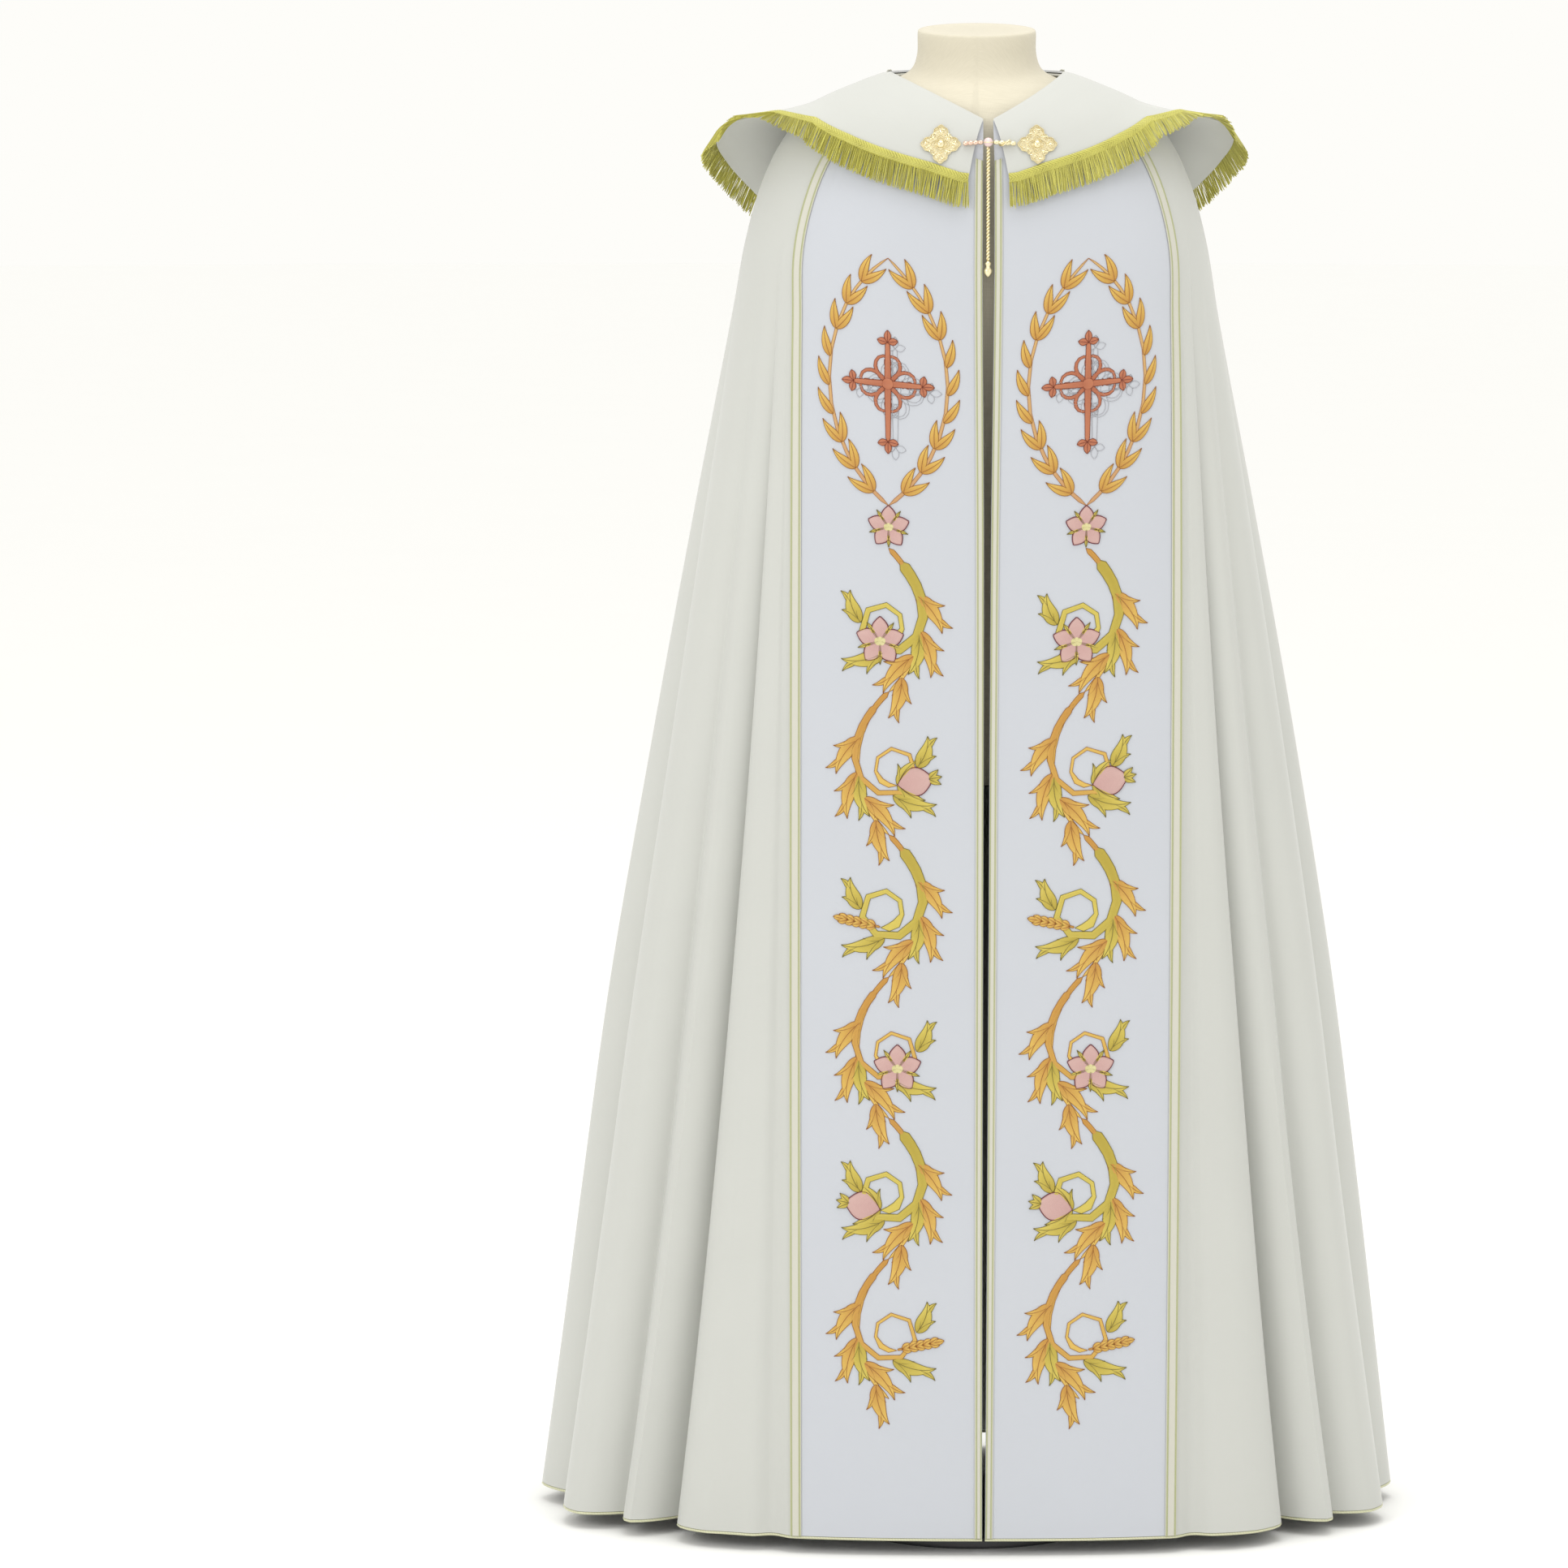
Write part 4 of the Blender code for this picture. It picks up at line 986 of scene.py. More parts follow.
@dataclass
class Orphrey:
    """One front band of white cloth, with its braids; the embroidery is placed on it."""

    side: int
    rows: int = 150
    columns: int = 17
    trim_start: float = 2.0

    @property
    def word(self) -> str:
        """The side in a word."""
        return "left" if self.side == LEFT else "right"

    def down(self, start: float = 0.0) -> Array:
        """Row numbers from a start to the hem, closer together at the top."""
        share = np.linspace(0, 1, self.rows)
        return (start + (LAST_ROW - start) * (0.6 * share + 0.4 * share**2))[:, None]

    def band(self, rows: Array, start: Array, end: Array, shares: Array) -> tuple[Array, Array]:
        """Shell points between two distances from the front centre.

        Args:
            rows: shell rows as a column.
            start: the nearer distance at each row.
            end: the farther distance at each row.
            shares: places between them, nought to one.

        Returns:
            Grids of points and outward directions.
        """
        angle = SHELL.angles_at(start + (end - start) * shares[None, :], rows, self.side)
        grid = np.broadcast_to(rows, angle.shape)
        return SHELL.point(angle, grid, self.side), SHELL.frame(angle, grid, self.side)[0]

    def build(self) -> tuple[Array, Array]:
        """Makes the band and its two braids.

        Returns:
            The hem's points and outward directions from the front edge to the seam.
        """
        rows = self.down()
        across = np.linspace(0, 1, self.columns)
        points, outward = self.band(rows, SHELL.slit(rows), SHELL.seam(rows), across)
        uv = np.stack([arc_length(points, 1), arc_length(points, 0)], axis=-1)
        cloth = wall(points + outward * CLOTH / 2, points - outward * CLOTH / 2, uv)
        self.piece = dressed(cloth.make("orphrey_cloth_" + self.word, WHITE), WHITE, "orphrey_" + self.word)
        low = self.down(self.trim_start)
        middle, half = SHELL.seam(low) + GAP / 2, SEAM_BRAID.width / 2
        seam = self.band(low, middle - half, middle + half, SEAM_BRAID.shares())
        self.braids = [SEAM_BRAID.build("seam_braid_" + self.word, *seam, "seam_trim_" + self.word)]
        start = SHELL.slit(low) + GAP
        edge = self.band(low, start, start + EDGE_BRAID.width, EDGE_BRAID.shares())
        self.braids.append(EDGE_BRAID.build("edge_braid_" + self.word, *edge, "edge_trim_" + self.word))
        return points[-1], outward[-1]

    @cached_property
    def field(self) -> tuple[Array, Array, Array]:
        """Rows and grids of points and directions that the embroidery is placed by."""
        rows = np.linspace(3.0, LAST_ROW, 220)[:, None]
        return rows, *self.band(rows, SHELL.slit(rows), SHELL.seam(rows), np.linspace(0, 1, 41))

    def place(self, x: Array, z: Array, lift: Array) -> Array:
        """Points of the band at a distance x from its middle, at a height z and a lift off the cloth.

        Args:
            x: metres to the right of the band's middle as it is seen from the front.
            z: heights above the floor.
            lift: metres off the cloth's outer face.

        Returns:
            The points.
        """
        rows, points, outward = self.field
        row = np.interp(-z, -points[:, 20, 2], np.arange(len(rows)))
        slit, seam = SHELL.slit(rows)[:, 0], SHELL.seam(rows)[:, 0]
        width = np.interp(row, np.arange(len(rows)), seam - slit)
        column = (0.5 + self.side * x / width) * 40
        out = bilinear(outward, row, column)
        return bilinear(points, row, column) + unit(out) * (CLOTH / 2 + lift)[..., None]


@dataclass
class Hood:
    """The hood: a cream part on each side and a white orphrey down the back, its corners curled up."""

    lift: float = 0.0048
    neck_lift: float = 0.0033
    seat_share: float = 0.05
    front_neck: float = 0.006
    front_edge: float = 0.021
    orphrey_half: float = 0.0875
    rows: int = 46
    side_columns: int = 130
    back_columns: int = 31
    row_ease: float = 1.25
    wing_start: float = 0.30
    wing_power: float = 4.0

    @property
    def shares(self) -> Array:
        """Shares of the way from neck to edge, one for each row, closer near the neck."""
        return np.linspace(0, 1, self.rows)[:, None] ** self.row_ease

    @staticmethod
    def edge_row(angle: Array, side: int) -> Array:
        """Shell rows at which the hood's edge lies, for each angle."""
        edges = np.array(HOOD_EDGE)
        height = np.interp(angle, np.radians(edges[:, 0]), edges[:, 1])
        rows = np.linspace(0, LAST_ROW, 600)
        drop = -SHELL.point(angle[:, None], rows[None, :], side)[..., 2]
        return np.array([np.interp(-h, d, rows) for h, d in zip(height, drop)])

    @staticmethod
    def flare(angle: Array) -> Array:
        """How far the edge stands out at each angle, averaged over a few degrees."""
        edges = np.array(HOOD_EDGE)
        near = np.radians(4.0) * np.linspace(-1, 1, 9)
        return np.interp(angle[..., None] + near, np.radians(edges[:, 0]), edges[:, 2]).mean(axis=-1)

    def point(self, angle: Array, rows: Array, share: Array, side: int) -> tuple[Array, Array]:
        """Points of the hood: the shell moved out, and farther out towards the edge at the shoulder.

        Args:
            angle: angle round the shell.
            rows: shell rows.
            share: shares of the way from neck to edge.
            side: LEFT or RIGHT.

        Returns:
            Points and outward directions of the shell.
        """
        outward = SHELL.frame(angle, rows, side)[0]
        lift = self.neck_lift + (self.lift - self.neck_lift) * np.clip(share / self.seat_share, 0, 1)
        wing = np.clip((share - self.wing_start) / (1 - self.wing_start), 0, 1) ** self.wing_power
        flare = self.flare(np.broadcast_to(angle[-1:], angle.shape))
        return SHELL.point(angle, rows, side) + outward * (lift + flare * wing)[..., None], outward

    def edge_angles(self, side: int) -> tuple[Array, Array]:
        """Angles at the edge of the side part's columns and of the half orphrey's, evenly spaced."""
        first = float(SHELL.angle_at_width(np.array(self.front_edge), np.array(3.0), False))
        dense = np.linspace(first, math.pi, 400)
        rows = self.edge_row(dense, side)
        points = self.point(dense[None, :], rows[None, :], np.ones((1, 400)), side)[0][0]
        along = arc_length(points)
        seam = np.where((dense > math.pi / 2) & (np.abs(points[:, 0]) < self.orphrey_half))[0][0]
        front = np.interp(np.linspace(0, along[seam], self.side_columns), along, dense)
        back = np.interp(np.linspace(along[seam], along[-1], self.back_columns), along, dense)
        return front, back

    def grid(self, side: int) -> tuple[tuple[Array, Array], tuple[Array, Array]]:
        """Points and outward directions of the side part and of the half orphrey.

        Args:
            side: LEFT or RIGHT.

        Returns:
            The side part's grids and the half orphrey's.
        """
        share = self.shares
        front, back = self.edge_angles(side)
        row_front = share * self.edge_row(front, side)[None, :]
        row_back = share * self.edge_row(back, side)[None, :]
        x_start = self.front_neck + (self.front_edge - self.front_neck) * share
        start = SHELL.angle_at_width(x_start, row_front[:, :1], False)
        seam = SHELL.angle_at_width(np.full(share.shape, self.orphrey_half), row_front[:, -1:], True)
        seam = seam + (front[-1] - seam[-1]) * share
        reach = (front - front[0]) / (front[-1] - front[0])
        reach_back = (back - back[0]) / (back[-1] - back[0])
        side_angle = start + (seam - start) * reach[None, :]
        back_angle = seam + (math.pi - seam) * reach_back[None, :]
        side_part = self.point(side_angle, row_front, np.broadcast_to(share, side_angle.shape), side)
        back_part = self.point(back_angle, row_back, np.broadcast_to(share, back_angle.shape), side)
        return side_part, back_part

    def build(self) -> tuple[Array, Array]:
        """Makes the three cloths and the two braids.

        Returns:
            The whole edge's points and outward directions, from the right front corner to the left.
        """
        edges, backs = {}, {}
        self.cloths, self.braids = {}, {}
        for side, word in ((LEFT, "left"), (RIGHT, "right")):
            (points, guide), (back, back_guide) = self.grid(side)
            whole = np.concatenate([points, back[:, 1:]], axis=1)
            guides = np.concatenate([guide, back_guide[:, 1:]], axis=1)
            flared = np.clip((self.shares[..., None] - 0.1) / 0.3, 0, 1)
            normal = np.cross(np.gradient(whole, axis=1), np.gradient(whole, axis=0))
            normal = unit(normal) * np.sign((normal * guides).sum(axis=-1, keepdims=True))
            normal = unit((1 - flared) * guides + flared * normal)
            normal[:, -1] *= np.array([0, 1, 1])
            normal = unit(normal)
            split = points.shape[1]
            cloth, out = points.copy(), normal[:, :split]
            cloth[:, -1] -= unit(points[:, -1] - points[:, -2]) * GAP
            uv = np.stack([arc_length(cloth, 1), arc_length(cloth, 0)], axis=-1)
            made = wall(cloth + out * CLOTH / 2, cloth - out * CLOTH / 2, uv)
            self.cloths[side] = dressed(made.make("hood_cloth_" + word, CREAM), CREAM, "hood_" + word)
            self.braids[side] = self.braid(whole[:-1], normal[:-1], split - 1, word)
            backs[side] = (back, normal[:, split - 1 :])
            edges[side] = (whole[-1], normal[-1])
        back = np.concatenate([backs[RIGHT][0], backs[LEFT][0][:, -2::-1]], axis=1)
        out = np.concatenate([backs[RIGHT][1], backs[LEFT][1][:, -2::-1]], axis=1)
        uv = np.stack([arc_length(back, 1), arc_length(back, 0)], axis=-1)
        made = wall(back + out * CLOTH / 2, back - out * CLOTH / 2, uv)
        self.piece = dressed(made.make("hood_orphrey_cloth", WHITE), WHITE, "hood_orphrey")
        line = np.concatenate([edges[RIGHT][0], edges[LEFT][0][-2::-1]])
        return line, np.concatenate([edges[RIGHT][1], edges[LEFT][1][-2::-1]])

    def braid(self, points: Array, normal: Array, column: int, word: str) -> bpy.types.Object:
        """Lays the braid along one seam, read from the grid at equal distances from the seam.

        Args:
            points: grid of the hood's points.
            normal: directions out of it.
            column: the seam's column.
            word: the side in a word.

        Returns:
            The braid.
        """
        run = arc_length(points, 1)
        run = run - run[:, column : column + 1]
        across = (SEAM_BRAID.shares() - 0.5) * SEAM_BRAID.width
        columns = np.stack([np.interp(across, r, np.arange(points.shape[1])) for r in run])
        rows = np.broadcast_to(np.arange(len(points), dtype=float)[:, None], columns.shape)
        strip, out = bilinear(points, rows, columns), unit(bilinear(normal, rows, columns))
        return SEAM_BRAID.build("hood_braid_" + word, strip, out, "hood_trim_" + word, CLOTH / 2 + 3 * GAP)

    @cached_property
    def field(self) -> tuple[Array, Array, Array]:
        """Lengths down the back and grids of points and directions that the embroidery is placed by."""
        rows = np.linspace(0.05, 8.4, 200)[:, None]
        x = np.linspace(-self.orphrey_half, self.orphrey_half, 41)[None, :]
        widths, levels = np.broadcast_arrays(np.abs(x), rows)
        angle = SHELL.angle_at_width(widths, levels, True)
        points, outward = np.empty((200, 41, 3)), np.empty((200, 41, 3))
        for side, part in ((RIGHT, slice(0, 21)), (LEFT, slice(21, 41))):
            grid = np.broadcast_to(rows, angle[:, part].shape)
            points[:, part] = SHELL.point(angle[:, part], grid, side)
            outward[:, part] = SHELL.frame(angle[:, part], grid, side)[0]
        return arc_length(points[:, 20]), points, outward

    def place(self, x: Array, z: Array, lift: Array) -> Array:
        """Points of the hood's orphrey at a distance x from its middle, seen from behind.

        Args:
            x: metres to the right of the middle as it is seen from behind.
            z: metres below the neck edge, as a negative number.
            lift: metres off the cloth's outer face.

        Returns:
            The points.
        """
        run, points, outward = self.field
        row = np.interp(-z, run, np.arange(len(run)))
        column = (x / self.orphrey_half + 1) * 20
        out = unit(bilinear(outward, row, column))
        return bilinear(points, row, column) + out * (self.lift + CLOTH / 2 + lift)[..., None]


@dataclass
class Fringe:
    """The hood's fringe: a plaited header on the edge and thousands of twisted yarns."""

    width: float = 0.010
    below: float = 0.001
    thick: float = 0.0012
    plait: float = 0.0034
    ridge: float = 0.0010
    length: float = 0.0275
    yarn: float = 0.00056
    pitch: float = 0.00125
    layers: int = 2
    stations: int = 7

    def along(self, line: Array, normal: Array, step: float) -> tuple[Array, Array, Array, Array]:
        """The edge again at even steps.

        Args:
            line: the hood's edge.
            normal: directions out of it.
            step: the distance between stations.

        Returns:
            Points, outward directions, directions down across the edge, and lengths along it.
        """
        run = arc_length(line)
        even = np.linspace(0, run[-1], int(run[-1] / step) + 1)
        path = np.stack([np.interp(even, run, line[:, k]) for k in range(3)], axis=1)
        out = unit(np.stack([np.interp(even, run, normal[:, k]) for k in range(3)], axis=1))
        along = unit(np.gradient(path, axis=0))
        across = unit(np.cross(out, along))
        across *= np.sign(-across[:, 2:3])
        return path, out, across, even

    def build(self, line: Array, normal: Array) -> list[bpy.types.Object]:
        """Makes the header and the yarns; both stand for the CAD fringe.

        Args:
            line: the hood's edge from the right front corner round to the left one.
            normal: directions out of it.

        Returns:
            The two pieces.
        """
        return [self.build_header(line, normal), self.build_yarns(line, normal)]

    def build_header(self, line: Array, normal: Array) -> bpy.types.Object:
        """Makes the plaited strip: ridges slant towards each other from its two edges, with painted shade in
        the valleys between them.

        Args:
            line: the hood's edge.
            normal: directions out of it.

        Returns:
            The header.
        """
        path, out, across, run = self.along(line, normal, 0.0011)
        share = np.linspace(0, 1, 11)
        place = path[:, None] + across[:, None] * (self.below - self.width * share)[None, :, None]
        slant = np.abs(share - 0.5)[None, :] * self.width * 1.1
        plait = np.abs(np.sin(math.pi * (run[:, None] + slant) / self.plait))
        rim = np.sqrt(np.clip(1 - (2 * share - 1) ** 2, 0, 1))[None, :]
        height = self.thick * (0.5 + 0.5 * rim) + self.ridge * plait * rim
        base = CLOTH / 2 + 2 * GAP
        spread = np.broadcast_to(out[:, None], place.shape)
        uv = np.stack(np.broadcast_arrays(run[:, None] * 1.0, share[None, :] * 0.6), axis=-1)
        # painted shade: the carried yarn value is highest in the valleys between the plait's ridges, which
        # gives them the darker tone
        yarn = np.broadcast_to(0.1 + 1.3 * (1 - plait), place.shape[:2])
        top = place + spread * (base + height)[..., None]
        made = wall(top, place + spread * base, uv, {"yarn": yarn})
        return dressed(made.make("fringe_header", FRINGE, 70), FRINGE, "hood_fringe")

    def build_yarns(self, line: Array, normal: Array) -> bpy.types.Object:
        """Makes the yarns: tubes that leave the header and bend from its own direction to the fall.

        Args:
            line: the hood's edge.
            normal: directions out of it.

        Returns:
            The yarns.
        """
        random = np.random.default_rng(SEED)
        path, out, across, run = self.along(line, normal, self.pitch)
        path, out, across = (np.concatenate([a] * self.layers) for a in (path, out, across))
        count = len(path)
        layer = np.repeat(np.arange(self.layers), count // self.layers)[:, None]
        free = np.clip((np.hypot(path[:, 0], path[:, 1] - 0.02) - 0.235) / 0.02, 0, 1)[:, None]
        straight = np.array([0, 0, -1.0])
        on_cloth = unit(straight - out * (out @ straight)[:, None])
        fall = unit(0.40 * across + 0.60 * ((1 - free) * on_cloth + free * straight))
        along = np.cross(out, across)
        jitter = random.normal(size=(count, 4))
        root = path + out * (CLOTH / 2 + 0.0008 + 0.0009 * layer) + along * (jitter[:, :1] * 0.0003)
        length = self.length * (1 - 0.07 * np.abs(jitter[:, 1:2]) - 0.03 * layer)
        share = np.linspace(0, 1, self.stations)[None, :, None]
        bend = fall + 0.05 * jitter[:, 2:3] * along + (0.03 * np.abs(jitter[:, 3:4]) + 0.02) * out
        bowed = share * unit(bend)[:, None] + 0.03 * (share - share**2) * out[:, None]
        yarns = root[:, None] + length[:, None] * bowed
        swell = np.array([1.0, 1.05, 1, 1, 1.05, 1.1, 0.8])
        thick = self.yarn * (1 + 0.12 * random.normal(size=(count, 1))) * swell
        made = tubes(yarns, thick, np.broadcast_to(out[:, None], yarns.shape), 3)
        own = random.random(count)
        made.values["yarn"] = np.repeat(np.clip(own + 0.25 * layer[:, 0], 0, 1), self.stations * 3)
        return dressed(made.make("fringe_yarns", FRINGE, 80), FRINGE, "hood_fringe")


class Dye(NamedTuple):
    """The thread colours of a stitched shape at its foot and tip, and of its outline."""

    foot: Colour
    tip: Colour
    outline: Colour


class Thread(Enum):
    """The embroidery's threads."""

    GOLD = Dye(linear((190, 138, 52)), linear((216, 180, 84)), linear((160, 108, 56)))
    OLIVE = Dye(linear((176, 156, 48)), linear((206, 188, 82)), linear((124, 114, 58)))
    PALE = Dye(linear((206, 198, 138)), linear((216, 208, 154)), linear((146, 138, 92)))
    PINK = Dye(linear((194, 154, 150)), linear((202, 166, 160)), linear((112, 50, 60)))
    ROSE = Dye(linear((196, 150, 100)), linear((208, 172, 106)), linear((170, 122, 88)))
    COPPER = Dye(linear((172, 98, 64)), linear((184, 112, 76)), linear((132, 70, 54)))
    SHADOW = Dye(linear((206, 208, 212)), linear((206, 208, 212)), linear((178, 180, 186)))


class Outline(Enum):
    """How the half width of a stitched shape runs from foot to tip."""

    STEM = 0
    CURL = 1
    LEAF = 2
    PETAL = 3
    DISC = 4


class Blade(NamedTuple):
    """One stitched shape on a midrib that turns; lengths are pattern units and angles degrees."""

    outline: Outline
    x: float
    y: float
    heading: float
    length: float
    turn: float
    width: float
    thread: Thread
    ease: float = 1.0
    layer: int = 0
    filled: bool = True

    def at(self, share: float) -> tuple[float, float, float]:
        """The midrib's place and heading at a share of its length.

        Args:
            share: nought at the foot, one at the tip.

        Returns:
            x, y and the heading in degrees.
        """
        s = np.linspace(0, share, 60)
        way = np.radians(self.heading + self.turn * s**self.ease)
        step = self.length * share
        return (
            self.x + step * float(np.cos(way).mean()),
            self.y + step * float(np.sin(way).mean()),
            self.heading + self.turn * share**self.ease,
        )

    def mirrored(self) -> "Blade":
        """The same shape turned over about the pattern's middle line."""
        return self._replace(x=-self.x, heading=180 - self.heading, turn=-self.turn)

    def moved(self, x: float, y: float) -> "Blade":
        """The same shape somewhere else."""
        return self._replace(x=self.x + x, y=self.y + y)


def disc(x: float, y: float, radius: float, thread: Thread) -> list[Blade]:
    """A round pad of stitches."""
    return [Blade(Outline.DISC, x - radius, -y, 0, 2 * radius, 0, radius, thread, layer=3)]


def leaf(
    x: float,
    y: float,
    heading: float,
    length: float,
    turn: float,
    width: float,
    fingers: int,
    thread: Thread,
    ease: float = 1.5,
) -> list[Blade]:
    """A leaf whose pointed fingers part from its midrib like flames and lean towards its tip.

    Args:
        x: the foot's place across.
        y: the foot's place down from the pattern's top.
        heading: direction at the foot.
        length: length of the midrib.
        turn: how far the midrib turns.
        width: greatest half width.
        fingers: fingers on each side.
        thread: its thread.
        ease: above one, it turns more towards the tip.

    Returns:
        The shapes, the fingers first.
    """
    main = Blade(Outline.LEAF, x, -y, heading, length, turn, width, thread, ease, layer=2)
    made = []
    bend = math.copysign(1, turn)
    for k in range(fingers):
        share = 0.10 + 0.52 * k / max(fingers - 1, 1)
        px, py, way = main.at(share)
        size = length * (0.50 - 0.22 * share) + 4
        half = width * (0.50 - 0.14 * share)
        turns = ((-1, 15, 34, size, half), (1, 14, 46, size * 0.72, width * 0.36))
        for way_out, lean, hook, reach, wide in turns[: 2 - k % 2]:
            lean, hook = way_out * bend * lean, way_out * bend * hook
            made.append(Blade(Outline.LEAF, px, py, way + lean, reach, hook, wide, thread, 1.6, layer=1))
    return made + [main]


def budded_cross(x: float, y: float, size: float) -> list[Blade]:
    """A plain cross with three buds on each arm and scrolls in each corner, in copper thread."""
    made = []
    for heading in (45, 135, 225, 315):
        away = math.radians(heading)
        px, py = x + 0.12 * size * math.cos(away), -y + 0.12 * size * math.sin(away)
        for side in (-1, 1):
            way, turn = heading - side * 6, side * 330
            made.append(Blade(Outline.CURL, px, py, way, size * 1.3, turn, size * 0.052, Thread.COPPER, 1.7))
    for heading, share in ((90, 1.0), (270, 1.4), (0, 0.84), (180, 0.84)):
        arm = Blade(Outline.STEM, x, -y, heading, size * share, 0, size * 0.082, Thread.COPPER, layer=2)
        px, py, _ = arm.at(1.0)
        made.append(arm)
        for angle, reach in ((0, 0.30), (78, 0.26), (-78, 0.26)):
            bud = Blade(Outline.PETAL, px, py, heading + angle, size * reach, 0, size * 0.085, Thread.COPPER)
            made.append(bud._replace(layer=3))
    return made + [b._replace(layer=4) for b in disc(x, y, 0.14 * size, Thread.COPPER)]


def sprig(
    blade: Blade,
    share: float,
    lean: float,
    length: float,
    turn: float,
    width: float,
    fingers: int,
    thread: Thread,
) -> list[Blade]:
    """A leaf that grows from a stem.

    Args:
        blade: the stem.
        share: how far along it.
        lean: angle from the stem, counter-clockwise.
        length: the leaf's length.
        turn: how far it turns.
        width: its greatest half width.
        fingers: fingers on each side.
        thread: its thread.

    Returns:
        The leaf's shapes.
    """
    x, y, way = blade.at(share)
    return leaf(x, -y, way + lean, length, turn, width, fingers, thread)


def rosette(x: float, y: float, size: float) -> list[Blade]:
    """A pink flower: five round petals at equal angles, an olive point between each two, a pale heart."""
    made = []
    for k in range(5):
        angle = 90 + 72 * k
        point = Blade(Outline.LEAF, x, -y, angle + 36, size * 0.96, 0, size * 0.14, Thread.OLIVE)
        made.append(point._replace(layer=3))
        made.append(Blade(Outline.PETAL, x, -y, angle, size, 0, size * 0.34, Thread.PINK, layer=4))
    return made + [b._replace(layer=5) for b in disc(x, y, size * 0.24, Thread.PALE)]


def pomegranate(x: float, y: float, heading: float, size: float) -> list[Blade]:
    """A round pink fruit with a crown of three points, between two olive leaves."""
    fruit = Blade(Outline.PETAL, x, -y, heading, size, 0, size * 0.40, Thread.PINK, layer=4)
    px, py, _ = fruit.at(0.88)
    made = [fruit]
    for lean in (-34, 0, 34):
        point = Blade(Outline.LEAF, px, py, heading + lean, size * 0.38, 0, size * 0.09, Thread.OLIVE)
        made.append(point._replace(layer=5))
    for side in (-1, 1):
        made += leaf(x, y, heading + side * 56, size * 0.9, -side * 40, size * 0.14, 1, Thread.OLIVE)
    return made


def wheat_ear(x: float, y: float, heading: float, size: float) -> list[Blade]:
    """An ear of wheat: grains in pairs at even steps along a rib, and one at its tip."""
    rib = Blade(Outline.STEM, x, -y, heading, size, 0, 1.2, Thread.GOLD, layer=3)
    grain = Blade(Outline.PETAL, *rib.at(1.0), size * 0.28, 0, size * 0.075, Thread.GOLD, layer=5)
    made = [rib, grain]
    for k in range(5):
        px, py, way = rib.at(0.12 + 0.19 * k)
        for side in (-1, 1):
            made.append(grain._replace(x=px, y=py, heading=way + side * 32, turn=-side * 22, layer=4))
    return made


def wreath() -> list[Blade]:
    """A cross in an oval wreath: two equal arcs that meet above and below, with leaves at even steps."""
    rise = Blade(Outline.STEM, 0, -304, 38.0, 346, 104.0, 2.2, Thread.ROSE)
    half = [rise]
    for k in range(9):
        for side in (-1, 1):
            if side < 0 or abs(k - 4) > 1:
                half += sprig(rise, 0.07 + 0.10 * k, side * 30, 36, -side * 26, 5.5, 0, Thread.GOLD)
    cross = budded_cross(0, 156, 50)
    pale = [b.moved(9, -7)._replace(thread=Thread.SHADOW, filled=False, layer=0) for b in cross]
    return half + [b.mirrored() for b in half] + pale + cross


def running_scroll(top: float, bows: int, reach: float = 176.0, lean: float = 48.0) -> list[Blade]:
    """A stem that sways down the band in equal bows, with a coil in the hollow of each.

    A bow is an arc whose ends lean by the same angle, so that its length is its reach times the angle
    over the angle's sine. The coil leaves the bow along its tangent and turns the same way, tighter.

    Args:
        top: where the stem starts, counted down.
        bows: how many bows.
        reach: how far down each goes.
        lean: angle between the stem and straight down where two bows meet.

    Returns:
        The shapes.
    """
    length = reach * math.radians(lean) / math.sin(math.radians(lean))
    made = []
    for k in range(bows):
        side = 1 - 2 * (k % 2)
        y = top + reach * k
        bow = Blade(Outline.STEM, 0, -y, -90 + side * lean, length, -side * 2 * lean, 3.2, Thread.GOLD)
        start = bow.at(0.10)
        thread, half = ((Thread.OLIVE, 7.0), (Thread.GOLD, 4.4))[k % 2]
        coil = Blade(Outline.CURL, *start, 324, -side * 500, half, thread, 1.7, layer=2)
        made += [bow, coil]
        for share, out, size in ((0.30, 30, 54), (0.46, 34, 56), (0.62, 40, 42)):
            made += sprig(coil, share, side * out, size, -side * 46, 9, 2, Thread.OLIVE)
        for share, hand, size in ((0.34, 1, 56), (0.56, 1, 60), (0.72, -1, 62), (0.88, 1, 54)):
            made += sprig(bow, share, side * hand * 34, size, -side * hand * 40, 9, 2, Thread.GOLD)
        px, py, way = coil.at(1.0)
        ends = (rosette(px, -py, 30), pomegranate(px, -py, way, 44), wheat_ear(px, -py, way, 46))
        made += ends[k % 3]
    return made


def front_pattern() -> list[Blade]:
    """The pattern of a front band: a wreath with a cross, a rosette below it and a running scroll."""
    return wreath() + rosette(0, 330, 26) + running_scroll(356, 6)


def hood_pattern() -> list[Blade]:
    """The pattern of the hood's orphrey: the wreath, a rosette, two coils and an ear of wheat."""
    coil = Blade(Outline.CURL, 4, -366, -18, 150, -340, 5.0, Thread.OLIVE, 1.5, layer=1)
    half = [coil] + sprig(coil, 0.3, 34, 34, -30, 6, 2, Thread.OLIVE)
    return wreath() + rosette(0, 336, 26) + half + [b.mirrored() for b in half] + wheat_ear(0, 372, -90, 74)


